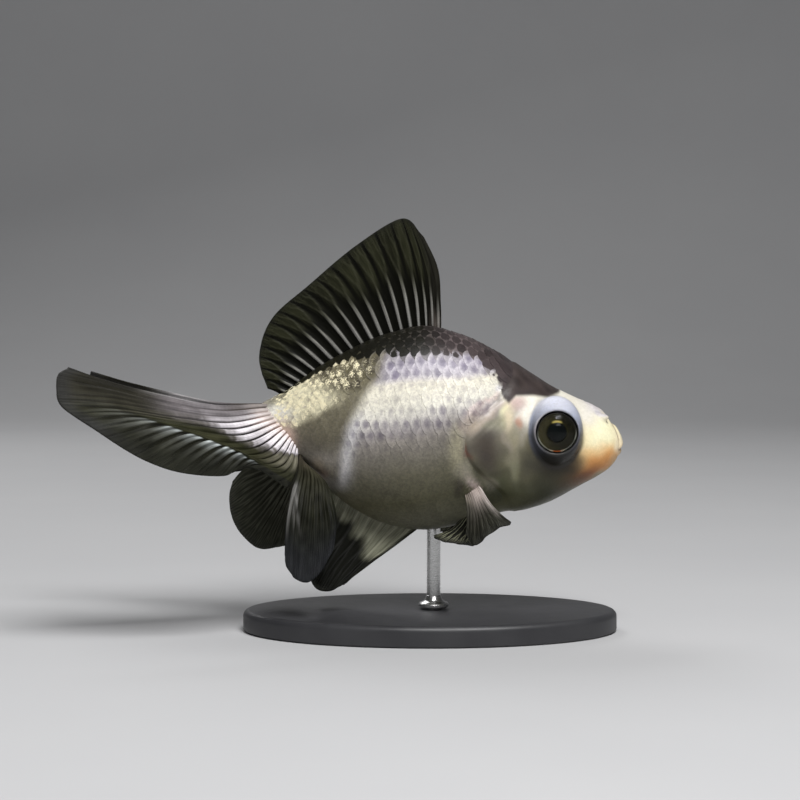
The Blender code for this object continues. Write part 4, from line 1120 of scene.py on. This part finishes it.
def sheet_normals(rays, across, along):
    """Directions square to a fin's middle sheet."""
    step = 2e-3
    low_a, high_a = np.maximum(across - step, 0), np.minimum(across + step, 1)
    low_b, high_b = np.maximum(along - step, 0), np.minimum(along + step, 1)
    over = sheet_points(rays, high_a, along) - sheet_points(rays, low_a, along)
    out = sheet_points(rays, across, high_b) - sheet_points(rays, across, low_b)
    normal = np.cross(over, out)
    return normal / np.linalg.norm(normal, axis=1, keepdims=True)


def ray_ridges(across, along, count, forks, stout):
    """Share of fin ray, forking twice on its way out, and share of the whole band that one ray holds."""
    wander = 0.10 * np.sin(across * 37.0 + 1.3) * along + 0.05 * np.sin(across * 91.0)
    cell = across * count
    place = cell - np.floor(np.minimum(cell, count - 1e-6)) - 0.5 + wander * 0.5
    first = 0.25 * soft(forks[0], forks[0] + 0.30, along)
    second = 0.125 * soft(forks[1], forks[1] + 0.25, along)
    away = np.full(across.shape, 9.0)
    for side in (-1, 1):
        for twig in (-1, 1):
            away = np.minimum(away, np.abs(place - side * first - twig * second))
    half = stout * (1 - 0.72 * soft(0.0, 1.0, along) ** 0.7)
    return soft(half * 1.25, half * 0.45, away), soft(0.44, 0.24, np.abs(place))


def make_fin(name, rays, count, along_steps, forks, stout, wall, look, ruffle, rounding=0.05, tuck=0.03):
    """One fin: a thin sheet with raised, forking rays on both faces. The wall is given at root and edge,
    and the tuck is the share of the rays' length by which the root reaches back into the flesh."""
    piece, across, along = grid(name + "_membrane", count * CELL_STEPS, along_steps)
    ridge, band = ray_ridges(across, along, count, forks, stout)
    reach = along * (1 - rounding * (soft(0.09, 0.0, across) ** 2 + soft(0.91, 1.0, across) ** 2))
    reach -= tuck * soft(0.12, 0.0, along)
    points = sheet_points(rays, across, reach)
    normal = sheet_normals(rays, across, np.maximum(reach, 0.0))
    pleat = (np.cos(across * count * 2 * math.pi) * PLEAT_DEPTH
             * soft(0.0, 0.25, along) * soft(1.15, 0.5, along))
    wave = np.sin(across * 23.0 + along * 3.0) * ruffle * along ** 2
    points = points + normal * (pleat + wave)[:, None]
    place_corners(piece, points)
    root_wall, edge_wall = wall
    thick = (edge_wall + (root_wall - edge_wall) * (1 - along) ** 1.4 * (0.35 + 0.65 * ridge)
             + RAY_HEIGHT * ridge * (1 - 0.5 * along))
    thickest = float(thick.max())
    group = weight_group(piece, "wall", thick / thickest)
    tone, solid = look(across, along, ridge, band, points)
    paint(piece, "tone", np.clip(tone, 0, 1))
    paint(piece, "solid", np.clip(solid, 0, 1))
    lay_map(piece, "FinMap", across * count, along)
    apply_modifier(piece, "SOLIDIFY", thickness=thickest * MM, offset=0.0, vertex_group=group,
                   thickness_vertex_group=0.0, use_even_offset=False)
    piece.vertex_groups.clear()
    outward(piece)
    smooth_shading(piece)
    piece.data.materials.clear()
    piece.data.materials.append(FIN_FINISH)
    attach(piece, "root")
    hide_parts(name)


def unevenness(across, along, crosswise, lengthwise, seed):
    """Smooth random unevenness in a fin's own layout, by waves across and along it."""
    layout = np.stack((across * crosswise, along * lengthwise, np.zeros_like(across)), axis=1)
    return waviness(layout, 3.0, seed)


def dorsal_look(across, along, ridge, band, points):
    """Black membrane, thin pale rays near the back, olive bands farther out, a stout dark front edge."""
    uneven = unevenness(across, along, 40, 2, 21)
    reach = along + 0.05 * uneven
    ray = ladder(reach, (0.0, 0.08, 0.30, 0.42, 0.52, 1.0),
                 ((0.10, 0.095, 0.085), (0.25, 0.245, 0.23), (0.21, 0.205, 0.185), (0.085, 0.085, 0.065),
                  (0.030, 0.030, 0.019), (0.026, 0.026, 0.018)))
    outer = soft(0.40, 0.62, reach)
    front = soft(0.13, 0.03, across)
    tone = layered(
        np.array((0.0035, 0.0035, 0.0022)),
        ((0.028, 0.029, 0.015), band * outer * (0.55 + 0.25 * uneven)),
        (ray, soft(0.35, 1.0, ridge) * soft(0.62, 0.40, reach) * 0.95),
        ((0.055, 0.056, 0.035), 0.30 * ridge * outer),
        ((0.015, 0.014, 0.011), 0.85 * front * soft(0.10, 0.45, along)),
        ((0.20, 0.17, 0.15), 0.6 * front * soft(0.30, 0.05, along) * soft(0.0, 0.03, across)),
        ((0.014, 0.014, 0.011), soft(0.94, 1.0, along) * 0.6))
    return tone, 1 - soft(0.75, 1.0, along) * 0.08


def tail_upper_look(across, along, ridge, band, points):
    """Pink root, a fan of white rays with dark gaps, an olive hollow that is partly painted shade, painted
    shade in the valley before the flare, white streaks where the lobe flares that are partly painted light on
    its crest, and a painted highlight along the upper edge.
    """
    uneven = unevenness(across, along, 30, 3, 22)
    cloud = 0.55 + 0.45 * waviness(points, 4.0, 31) + 0.20 * waviness(points, 1.1, 32)
    fan_end = np.interp(across, (0.0, 0.25, 0.375, 0.5, 0.625, 0.75, 0.875, 1.0),
                        (0.42, 0.36, 0.30, 0.25, 0.205, 0.165, 0.13, 0.09)) + 0.02 * uneven
    fan = along / (fan_end * (1 + 0.16 * (band - ridge) + 0.10 * waviness(points, 1.3, 33)))
    ray = ladder(fan, (0.0, 0.12, 0.35, 0.85, 1.08, 1.5, 2.2, 5.0),
                 ((0.84, 0.67, 0.60), (0.88, 0.74, 0.69), (0.90, 0.85, 0.87), (0.72, 0.68, 0.72),
                  (0.17, 0.155, 0.15), (0.066, 0.062, 0.045), (0.044, 0.043, 0.026), (0.026, 0.026, 0.020)))
    skin = ladder(fan, (0.0, 0.15, 0.42, 1.0, 2.0, 5.0),
                  ((0.60, 0.42, 0.35), (0.44, 0.32, 0.28), (0.050, 0.042, 0.046), (0.020, 0.018, 0.016),
                   (0.016, 0.016, 0.010), (0.018, 0.018, 0.015)))
    key = soft(0.50, 1.0, band + 0.3 * soft(0.25, 0.0, fan)) * soft(1.35, 1.0, fan)
    upper, lower = soft(0.29, 0.14, across), soft(0.24, 0.38, across)
    lines = 0.5 + 0.5 * (0.55 + 0.45 * ridge)
    # The hollow is partly the lobe's own dark olive and partly painted shade, deepest along one band.
    hollow = lower * soft(1.0, 1.5, fan) * soft(0.735, 0.70, along)
    stroke = bell(fan, 1.35, 0.28) * soft(0.75, 0.55, across)
    flare = soft(0.16, 0.34, across) * soft(0.86, 0.74, across)
    # Painted shade in the valley just before the lobe flares out.
    dark = flare * soft(0.66, 0.71, along) * soft(0.98, 0.84, along)
    # The streak heads on the flare's crest are partly pale rays and partly painted light where the crest
    # faces up.
    head = flare * soft(0.712, 0.728, along) * soft(0.83, 0.740, along) * soft(0.20, 0.52, across)
    trail = flare * soft(0.74, 0.77, along) * soft(0.96, 0.76, along)
    web = soft(0.60, 0.80, across) * soft(1.1, 1.4, fan) * soft(0.52, 0.22, along)
    tone = layered(
        skin,
        (ray, np.maximum(soft(0.35, 0.9, ridge), key)),
        ((0.15, 0.135, 0.14), 0.92 * upper * soft(0.04, 0.16, along) * soft(0.66, 0.46, along) * lines),
        ((0.026, 0.024, 0.018), 0.80 * upper * soft(0.46, 0.62, along + 0.05 * uneven)),
        ((0.024, 0.025, 0.012), 0.86 * hollow * (1 - 0.35 * soft(0.55, 0.8, across))),
        ((0.009, 0.009, 0.004), 0.75 * hollow * stroke * (1 - 0.5 * ridge)),
        ((0.070, 0.068, 0.036), 0.35 * hollow * ridge * (0.5 + 0.5 * uneven)),
        ((0.52, 0.48, 0.46), 0.75 * soft(0.42, 0.28, across) * soft(0.30, 0.08, fan)),
        ((0.006, 0.006, 0.004), 0.94 * dark * (1 - 0.6 * band)),
        ((0.016, 0.016, 0.010), 0.75 * flare * soft(0.74, 0.80, along) * (1 - 0.6 * ridge)),
        ((0.52, 0.56, 0.56),
         (0.2 + 0.75 * ridge) * soft(0.6, 1.0, band) * head * soft(0.10, 0.55, across)),
        ((0.118, 0.122, 0.106), 0.85 * ridge * trail * soft(0.3, 0.8, band) * (0.75 + 0.25 * uneven)),
        ((0.024, 0.025, 0.019), 0.5 * lower * soft(0.84, 0.95, along)),
        ((0.085, 0.080, 0.052), 0.7 * web),
        ((0.22, 0.205, 0.16), 0.6 * web * ridge * soft(0.95, 0.55, along)),
        ((0.060, 0.050, 0.043), 0.90 * soft(0.15, 0.06, across) * soft(0.01, 0.04, along)
         * soft(0.28, 0.14, along) * (1 - 0.3 * ridge)),
        # Painted highlight along the upper edge.
        ((0.62, 0.60, 0.60),
         0.85 * soft(0.05, 0.008, across) * bell(along, 0.44, 0.13) * (0.6 + 0.4 * uneven)),
        ((0.014, 0.013, 0.009),
         0.8 * soft(0.16, 0.03, across) * soft(0.60, 0.70, along) * soft(0.96, 0.86, along)),
        ((0.030, 0.030, 0.030), 0.7 * soft(0.90, 0.98, along) * soft(0.55, 0.30, across)))
    return tone * (0.80 + 0.35 * cloud[:, None]), 1 - soft(0.7, 1.0, along) * (0.10 - 0.08 * ridge)


def tail_lower_look(across, along, ridge, band, points):
    """Dark olive lobe with a pale fork that spreads from a fold near its root, and thin grey rays."""
    uneven = unevenness(across, along, 20, 3, 23)
    ray = ladder(along, (0.0, 0.15, 0.30, 0.42, 0.6, 1.0),
                 ((0.12, 0.10, 0.075), (0.055, 0.050, 0.032), (0.036, 0.035, 0.023), (0.036, 0.036, 0.026),
                  (0.016, 0.016, 0.010), (0.020, 0.021, 0.022)))
    skin = ladder(along, (0.0, 0.2, 0.6, 1.0),
                  ((0.070, 0.060, 0.045), (0.020, 0.019, 0.011), (0.008, 0.0085, 0.005),
                   (0.014, 0.015, 0.016)))
    tone = tint(skin, ray, ridge * (0.70 + 0.2 * uneven))
    tone = tone * (1 + 0.35 * waviness(points, 2.4, 34) + 0.15 * waviness(points, 0.9, 35))[:, None]
    past = along - 0.43
    near_line = bell(across, 0.05, 0.026) * soft(0.40, 0.46, along) * soft(0.92, 0.60, along)
    far_line = bell(across, 0.08 + 0.85 * past, 0.03) * soft(0.40, 0.46, along) * soft(0.78, 0.48, along)
    mid_line = bell(across, 0.07 + 0.42 * past, 0.022) * soft(0.42, 0.48, along) * soft(0.80, 0.55, along)
    fold = bell(across, 0.08, 0.06) * bell(along, 0.44, 0.05)
    tone = layered(
        tone,
        ((0.20, 0.195, 0.185), 0.8 * np.clip(near_line + far_line + 0.6 * mid_line + fold, 0, 1)),
        ((0.012, 0.012, 0.008), 0.7 * bell(across, 0.30, 0.08) * bell(along, 0.52, 0.14)),
        ((0.026, 0.027, 0.030), 0.6 * soft(0.72, 0.95, along)))
    return tone, 1 - soft(0.6, 1.0, along) * (0.10 - 0.08 * ridge)


def far_lower_look(across, along, ridge, band, points):
    """The dark lower lobe on the far side, black with fine ridges."""
    skin = ladder(along, (0.0, 0.3, 0.8, 1.0),
                  ((0.06, 0.05, 0.04), (0.022, 0.022, 0.014), (0.028, 0.029, 0.020), (0.040, 0.041, 0.032)))
    tone = tint(skin, (0.085, 0.086, 0.064), 0.8 * ridge * (0.7 + 0.3 * waviness(points, 2.0, 36)))
    return tone, 1 - soft(0.75, 1.0, along) * (0.10 - 0.08 * ridge)


def anal_look(across, along, ridge, band, points):
    """Clear grey-olive over the front root, then black with a ragged border."""
    ragged = 0.05 * waviness(points, 3.0, 41) + 0.012 * waviness(points, 0.9, 42)
    border = np.interp(across, (0.0, 0.1, 0.25, 0.4, 0.6, 0.78, 1.0),
                       (0.55, 0.52, 0.42, 0.28, 0.22, 0.25, 0.30))
    pale = soft(0.10, -0.10, along - border + ragged)
    tone = layered(
        np.array((0.0060, 0.0062, 0.0045)) + 0.010 * ridge[:, None],
        ((0.24, 0.24, 0.175), pale),
        ((0.33, 0.33, 0.25), pale * ridge * 0.6),
        ((0.014, 0.014, 0.010), 0.85 * soft(0.05, 0.015, across)),
        ((0.050, 0.050, 0.040), 0.5 * soft(0.92, 1.0, along) * soft(0.3, 0.5, across)))
    return tone, 1 - 0.10 * pale * (1 - ridge) - 0.05 * soft(0.8, 1.0, along)


def paired_look(across, along, ridge, band, points):
    """Pale front ray and root, smoky dark membrane, thin pale rays."""
    ray = ladder(along, (0.0, 0.3, 0.7, 1.0),
                 ((0.36, 0.31, 0.26), (0.14, 0.130, 0.105), (0.052, 0.051, 0.038), (0.052, 0.052, 0.042)))
    skin = ladder(along, (0.0, 0.25, 0.7, 1.0),
                  ((0.22, 0.185, 0.15), (0.040, 0.037, 0.029), (0.020, 0.020, 0.015), (0.026, 0.026, 0.021)))
    tone = layered(
        skin,
        (ray, ridge * 0.55),
        ((0.46, 0.41, 0.38), 0.8 * soft(0.24, 0.04, across) * soft(0.80, 0.25, along)),
        ((0.66, 0.56, 0.52), 0.85 * bell(along, 0.03, 0.20) * bell(across, 0.30, 0.34)))
    return tone, 1 - soft(0.5, 1.0, along) * (0.12 - 0.08 * ridge)


def pelvic_look(across, along, ridge, band, points):
    """Black between thin pale olive rays."""
    tone = tint(np.array((0.012, 0.012, 0.009)), (0.22, 0.22, 0.15), ridge * soft(1.05, 0.75, along))
    return tone, 1 - soft(0.5, 1.0, along) * 0.2 * (1 - ridge)


def fin_finish():
    """Thin wet membrane over the rays, finely banded along each ray."""
    material, tree, shader = finish("fin_membrane", Coat_Weight=0.01, Coat_Roughness=0.2,
                                    Specular_IOR_Level=0.04)
    place = object_place(tree)
    fine = noise(tree, place, 0.3, 3.0, 0.6)
    layout = add(tree, "ShaderNodeUVMap", {"uv_map": "FinMap"}).outputs[0]
    parts = add(tree, "ShaderNodeSeparateXYZ", None, i0=layout)
    bands = maths(tree, "SINE", maths(tree, "MULTIPLY", parts.outputs[1], 330.0))
    streaks = add(tree, "ShaderNodeMapping", None, Vector=layout, Scale=(9.0, 5.0, 1.0)).outputs[0]
    hair = add(tree, "ShaderNodeTexNoise", None, Vector=streaks, Scale=1.0, Detail=2.0).outputs["Fac"]
    tone = stored(tree, "tone").outputs["Color"]
    strength = maths(tree, "MULTIPLY_ADD", bands, 0.03, between(tree, hair, 0.3, 0.7, 0.72, 1.18))
    shade = add(tree, "ShaderNodeCombineXYZ", None, i0=strength, i1=strength, i2=strength).outputs[0]
    colour = blend_colour(tree, 1.0, tone, shade, "MULTIPLY")
    solid = maths(tree, "MULTIPLY", stored(tree, "solid").outputs["Fac"],
                  between(tree, fine, 0.2, 0.8, 0.985, 1.0))
    wire(tree, shader, Base_Color=colour, Alpha=solid, Roughness=between(tree, fine, 0.3, 0.7, 0.42, 0.58))
    relief(tree, shader, maths(tree, "MULTIPLY_ADD", bands, 0.08, maths(tree, "ADD", fine, hair)), 0.25, 0.06)
    return material


FIN_FINISH = fin_finish()


def make_fins():
    """All the fins, with stout pale rays at the root and fine forked ones at the edge."""
    make_fin("dorsal_fin", DORSAL_RAYS, 19, 64, (0.44, 0.68), 0.17, (0.62, 0.22), dorsal_look, 0.15, 0.06)
    upper_lobe = (13, 100, (0.30, 0.72), 0.40, (0.75, 0.20), tail_upper_look, 0.30)
    make_fin("tail_upper_right", TAIL_UPPER_RIGHT, *upper_lobe, tuck=0.06)
    make_fin("tail_upper_left", hanging(TAIL_UPPER_RIGHT), *upper_lobe, tuck=0.06)
    make_fin("tail_lower_right", TAIL_LOWER_RIGHT, 10, 52, (0.26, 0.52), 0.22, (0.65, 0.20),
             tail_lower_look, 0.20, tuck=0.10)
    make_fin("tail_lower_left", TAIL_LOWER_LEFT, 12, 52, (0.26, 0.52), 0.20, (0.65, 0.20),
             far_lower_look, 0.20, tuck=0.10)
    for name, side in SIDES:
        for fin, rays, count, steps, stout, look, ruffle in (
                ("anal_fin_", ANAL_RAYS, 8, 40, 0.20, anal_look, 0.15),
                ("pelvic_fin_", PELVIC_RAYS, 7, 26, 0.18, pelvic_look, 0.1),
                ("pectoral_fin_", PECTORAL_RAYS, 9, 34, 0.20, paired_look, 0.15)):
            make_fin(fin + name, rays if side < 0 else mirrored(rays), count, steps, (0.35, 0.6), stout,
                     (0.5, 0.2), look, ruffle)


# ---------------------------------------------------------------- eyes

# Rows of the eyeball: distance along the eye's axis and radius, from its back to the top of the lens.
GLOBE_ROWS = ((6.35, 0.0), (6.6, 1.4), (7.5, 2.6), (8.6, 3.12), (9.6, 3.18), (10.25, 3.12),
              (10.5, 2.95), (10.42, 2.6), (10.40, 2.1), (10.46, 1.72), (10.56, 1.60), (10.78, 1.42),
              (11.0, 1.0), (11.1, 0.5), (11.12, 0.0))
CORNEA_BASE, CORNEA_TOP, CORNEA_RADIUS, CORNEA_WALL = 10.35, 11.78, 3.2, 0.10
# A place's ring is its radius, and behind the globe's front it is pushed past all the colours of the iris.
GLOBE_FRONT, PUSH_BEHIND = 10.2, 4.0


def turned_form(name, rows, side, rings):
    """A closed form turned round the eye's axis from rows of distance and radius."""
    piece, turn, share = sphere(name, 96, rings)
    row = smooth_curve(rows, share)
    radius = np.maximum(row[:, 1], 0.0)
    turned_frame, root = eye_frame(side)
    local = np.stack((radius * np.cos(turn), radius * np.sin(turn), row[:, 0]), axis=1)
    place_corners(piece, local @ turned_frame.T + root)
    outward(piece)
    smooth_shading(piece)
    return piece, turn, row


def make_eyes():
    """Eyeballs with iris and lens, each under a clear wet dome."""
    iris, clear = eye_finish(), cornea_finish()
    steps = np.linspace(0.0, math.pi / 2, 12)
    outer = [(CORNEA_BASE + (CORNEA_TOP - CORNEA_BASE) * math.sin(t), CORNEA_RADIUS * math.cos(t))
             for t in steps]
    inner = [(d - CORNEA_WALL, r * (1 - CORNEA_WALL / CORNEA_RADIUS)) for d, r in outer]
    outer[-1], inner[-1] = (outer[-1][0], 0.0), (inner[-1][0], 0.0)
    for name, side in SIDES:
        globe, turn, row = turned_form("eye_ball_" + name, GLOBE_ROWS, side, 90)
        hidden = (row[:, 0] < GLOBE_FRONT) * (row[:, 1] > 0.1)
        paint(globe, "ring", row[:, 1] + PUSH_BEHIND * hidden)
        paint(globe, "height", np.sin(turn))
        paint(globe, "rearward", side * np.cos(turn))
        globe.data.materials.append(iris)
        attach(globe, "root")
        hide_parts("eye_" + name)
        lens, _, _ = turned_form("cornea_" + name, inner[::-1] + outer, side, 70)
        lens.data.materials.append(clear)
        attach(lens, "root")


def eye_finish():
    """Black lens with a gold fleck over it, dark olive iris with fine spokes, a thin silver ring that shows
    on its lower part.
    """
    material, tree, shader = finish("eye_gloss", Coat_Weight=0.02, Coat_Roughness=0.08,
                                    Specular_IOR_Level=0.08)
    ring = stored(tree, "ring").outputs["Fac"]
    height = stored(tree, "height").outputs["Fac"]
    rearward = stored(tree, "rearward").outputs["Fac"]
    place = object_place(tree)
    spokes = noise(tree, place, 0.30, 3.0, 0.65)
    cloud = noise(tree, place, 1.1, 2.0)
    olive = between(tree, maths(tree, "MULTIPLY_ADD", cloud, 0.9, rearward), 0.1, 1.3)
    iris = blend_colour(tree, between(tree, spokes, 0.3, 0.7), (0.004, 0.004, 0.0025),
                        (0.013, 0.012, 0.006))
    olive = maths(tree, "MULTIPLY", olive, between(tree, spokes, 0.3, 0.65, 0.35, 0.9))
    iris = blend_colour(tree, olive, iris, (0.040, 0.036, 0.016))
    upper = between(tree, height, 0.84, 0.98)
    gold = blend_colour(tree, upper, (0.014, 0.013, 0.005), (0.36, 0.30, 0.08))
    # The silver ring shows on the eye's lower part and fades out towards the top.
    lower_silver = maths(tree, "MULTIPLY", between(tree, height, 0.25, -0.45),
                 between(tree, cloud, 0.35, 0.6, 0.35, 1.0))
    silver = blend_colour(tree, lower_silver, (0.020, 0.018, 0.018), (0.40, 0.41, 0.34))
    silver = blend_colour(tree, between(tree, height, -0.90, -0.96), silver, (0.62, 0.50, 0.36))
    red = blend_colour(tree, between(tree, height, -0.972, -0.99), silver, (0.50, 0.11, 0.02))
    colour = blend_colour(tree, between(tree, ring, 1.48, 1.58), (0.0025, 0.0035, 0.0035), gold)
    colour = blend_colour(tree, between(tree, ring, 1.66, 1.95), colour, iris)
    colour = blend_colour(tree, between(tree, ring, 2.84, 3.02), colour, red)
    colour = blend_colour(tree, between(tree, ring, 4.0, 4.4), colour, (0.02, 0.02, 0.018))
    wire(tree, shader, Base_Color=colour, Roughness=between(tree, spokes, 0.2, 0.8, 0.14, 0.30))
    relief(tree, shader, spokes, 0.2, 0.06)
    return material


def cornea_finish():
    """Clear wet dome that shows the iris and only adds gloss."""
    material = bpy.data.materials.new("clear_dome")
    material.use_nodes = True
    tree = material.node_tree
    tree.nodes.remove(tree.nodes["Principled BSDF"])
    fine = noise(tree, object_place(tree), 0.8, 2.0)
    gloss = add(tree, "ShaderNodeBsdfGlossy", None, Color=(1.0, 1.0, 1.0),
                Roughness=between(tree, fine, 0.2, 0.8, 0.03, 0.07))
    open_air = add(tree, "ShaderNodeBsdfTransparent", None, Color=(1.0, 1.0, 1.0))
    facing = add(tree, "ShaderNodeLayerWeight", None, Blend=0.5).outputs["Facing"]
    share = maths(tree, "MULTIPLY_ADD", maths(tree, "POWER", facing, 4.0), 0.13, 0.004)
    mixed = add(tree, "ShaderNodeMixShader", None, i0=share, i1=open_air.outputs[0], i2=gloss.outputs[0])
    tree.links.new(mixed.outputs[0], tree.nodes["Material Output"].inputs["Surface"])
    return material


# ---------------------------------------------------------------- stand

BASE_SIZE, BASE_EDGE, BASE_FOOT = (60.0, 38.0, 3.4), 1.0, 0.35
ROD_X, ROD_RADIUS, COLLAR_FOOT = 0.6, 1.1, 3.7
# The collar's outline: height above its foot and radius.
COLLAR_ROWS = ((0.0, 1.0), (0.0, 2.2), (0.2, 2.4), (0.55, 2.4), (0.75, 2.25), (0.95, 1.75), (1.3, 1.38),
               (1.9, 1.16), (2.0, 1.0))


def edges_near(piece, level, slack=0.05):
    """Select the edges that lie at a height above the stand's underside."""
    bpy.ops.object.mode_set(mode="OBJECT")
    places = corners(piece) / MM
    for edge in piece.data.edges:
        edge.select = all(abs(places[i][2] - level) < slack for i in edge.vertices)


def make_base():
    """Flat oval base with a rounded upper edge and a small chamfer at the foot."""
    bpy.ops.object.select_all(action="DESELECT")
    bpy.ops.mesh.primitive_cylinder_add(vertices=144, radius=1.0, depth=1.0, end_fill_type="NGON")
    base = bpy.context.object
    base.name = "display_base"
    half = np.array((BASE_SIZE[0] / 2, BASE_SIZE[1] / 2, BASE_SIZE[2]))
    place_corners(base, corners(base) * half + (0.0, 0.0, BASE_SIZE[2] / 2 - BODY_LIFT))
    active(base)
    bpy.ops.object.mode_set(mode="EDIT")
    bpy.ops.mesh.select_mode(type="EDGE")
    for level, width, steps in ((BASE_SIZE[2], BASE_EDGE, 5), (0.0, BASE_FOOT, 1)):
        bpy.ops.mesh.select_all(action="DESELECT")
        edges_near(base, level)
        bpy.ops.object.mode_set(mode="EDIT")
        bpy.ops.mesh.bevel(offset=width * MM, segments=steps, profile=0.5)
    bpy.ops.object.mode_set(mode="OBJECT")
    smooth_shading(base, 40)
    base.data.materials.append(paint_finish())
    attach(base, "root")
    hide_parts("stand_base")


def make_rod():
    """Steel rod with a turned collar, from the base up into the belly."""
    bpy.ops.object.select_all(action="DESELECT")
    bpy.ops.mesh.primitive_cylinder_add(vertices=64, radius=ROD_RADIUS * MM, depth=1.0, end_fill_type="NGON")
    rod = bpy.context.object
    rod.name = "display_rod"
    low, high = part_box("stand_rod")
    places = corners(rod)
    places[:, 0] += ROD_X * MM
    places[:, 2] = np.where(places[:, 2] > 0, high[2], low[2])
    rod.data.vertices.foreach_set("co", places.ravel())
    collar = bpy.data.meshes.new("collar")
    outline = [((ROD_X + radius) * MM, 0.0, (COLLAR_FOOT + rise) * MM) for rise, radius in COLLAR_ROWS]
    collar.from_pydata(outline, [(i, i + 1) for i in range(len(outline) - 1)], [])
    ring = put_in_scene("collar", collar)
    active(ring)
    bpy.ops.object.mode_set(mode="EDIT")
    bpy.ops.mesh.select_all(action="SELECT")
    bpy.ops.mesh.spin(steps=64, angle=2 * math.pi, center=(ROD_X * MM, 0.0, 0.0), axis=(0.0, 0.0, 1.0))
    bpy.ops.mesh.select_all(action="SELECT")
    bpy.ops.mesh.remove_doubles(threshold=1e-6)
    bpy.ops.object.mode_set(mode="OBJECT")
    active(rod)
    ring.select_set(True)
    bpy.ops.object.join()
    outward(rod)
    smooth_shading(rod, 35)
    rod.data.materials.append(steel_finish())
    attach(rod, "root")
    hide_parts("stand_rod")


def paint_finish():
    """Fine satin dark grey paint with a slight orange peel and a few faint dust marks."""
    material, tree, shader = finish("satin_grey_paint", Specular_IOR_Level=0.45)
    place = object_place(tree)
    peel = noise(tree, place, 0.6, 3.0)
    cloud = noise(tree, place, 9.0, 4.0)
    grey = blend_colour(tree, between(tree, cloud, 0.3, 0.7), (0.030, 0.030, 0.033), (0.040, 0.040, 0.043))
    wire(tree, shader, Base_Color=grey, Roughness=between(tree, cloud, 0.3, 0.7, 0.36, 0.48))
    relief(tree, shader, peel, 0.15, 0.05)
    return material


def steel_finish():
    """Steel brushed round the rod."""
    material, tree, shader = finish("brushed_steel", Metallic=1.0)
    place = object_place(tree, (1.0, 1.0, 14.0))
    brush = noise(tree, place, 1.4, 4.0, 0.6)
    grey = blend_colour(tree, brush, (0.48, 0.48, 0.48), (0.68, 0.68, 0.67))
    wire(tree, shader, Base_Color=grey, Roughness=between(tree, brush, 0.25, 0.75, 0.22, 0.36))
    relief(tree, shader, brush, 0.12, 0.03)
    return material


# ---------------------------------------------------------------- stage

VIEW_CENTRE = Vector((-4.8, 0.0, 5.0 + BODY_LIFT)) * MM
VIEW_RISE, VIEW_DISTANCE = math.radians(3.0), 0.3556
LENS, SENSOR = 100.0, 36.0
LAMP_AIM = Vector((0.0, 0.0, 0.037))
# The floor in metres: its width, how far it runs before and behind the fish, the radius of the sweep
# behind it, and the height of the backdrop.
FLOOR_WIDTH, FLOOR_BEFORE, FLOOR_BEHIND, FLOOR_SWEEP, BACKDROP_HEIGHT = 5.0, 1.6, 0.55, 0.35, 1.3
# Lamps: name, place and size in metres, and power in watts.
LAMPS = (("key", (0.10, -0.30, 0.46), 0.24, 3.4), ("fill", (-0.45, -0.55, 0.20), 0.6, 0.25),
         ("rim", (-0.20, 0.40, 0.45), 0.3, 1.2))
SKY_COLOUR, SKY_STRENGTH = (0.50, 0.51, 0.52, 1.0), 0.16


def floor_finish():
    """Matt pale grey with a faint cloudiness."""
    material, tree, shader = finish("pale_floor", Specular_IOR_Level=0.2, Roughness=0.8)
    cloud = noise(tree, object_place(tree), 60.0, 3.0)
    wire(tree, shader, Base_Color=blend_colour(tree, cloud, (0.50, 0.50, 0.51), (0.54, 0.54, 0.545)))
    return material


def make_floor():
    """Plain pale floor that sweeps up into a backdrop."""
    floor, across, along = grid("floor", 2, 60)
    quarter = FLOOR_SWEEP * math.pi / 2
    reach = along * (FLOOR_BEHIND + quarter + BACKDROP_HEIGHT)
    turn = np.clip((reach - FLOOR_BEHIND) / FLOOR_SWEEP, 0.0, math.pi / 2)
    y = np.minimum(reach, FLOOR_BEHIND) + FLOOR_SWEEP * np.sin(turn)
    z = FLOOR_SWEEP * (1 - np.cos(turn)) + np.maximum(reach - FLOOR_BEHIND - quarter, 0.0)
    front = np.where(reach <= 0, -FLOOR_BEFORE, 0.0)
    places = np.stack(((across - 0.5) * FLOOR_WIDTH, y + front - 0.02, z), axis=1)
    floor.data.vertices.foreach_set("co", places.ravel())
    floor.data.update()
    if floor.data.polygons[0].normal.z < 0:
        floor.data.flip_normals()
    smooth_shading(floor)
    floor.data.materials.append(floor_finish())


def soft_light(name, place, size, power):
    """A square studio lamp that points at the fish."""
    lamp = bpy.data.lights.new(name, "AREA")
    lamp.shape, lamp.size, lamp.energy = "SQUARE", size, power
    item = put_in_scene(name, lamp)
    item.location = place
    item.rotation_euler = (LAMP_AIM - Vector(place)).to_track_quat("-Z", "Y").to_euler()


def make_stage():
    """Floor, camera and soft light."""
    make_floor()
    for lamp in LAMPS:
        soft_light(*lamp)
    world = bpy.data.worlds.new("studio")
    world.use_nodes = True
    sky = world.node_tree.nodes["Background"]
    sky.inputs["Color"].default_value = SKY_COLOUR
    sky.inputs["Strength"].default_value = SKY_STRENGTH
    bpy.context.scene.world = world
    view = bpy.data.cameras.new("camera")
    view.lens, view.sensor_width, view.clip_start = LENS, SENSOR, 0.01
    camera = put_in_scene("camera", view)
    toward = Vector((0.0, -math.cos(VIEW_RISE), math.sin(VIEW_RISE)))
    camera.location = VIEW_CENTRE + toward * VIEW_DISTANCE
    camera.rotation_euler = (-toward).to_track_quat("-Z", "Y").to_euler()
    bpy.context.scene.camera = camera
    bpy.context.scene.view_settings.view_transform = "Standard"


make_stage()
make_skin()
make_coat()
make_fins()
make_eyes()
make_base()
make_rod()
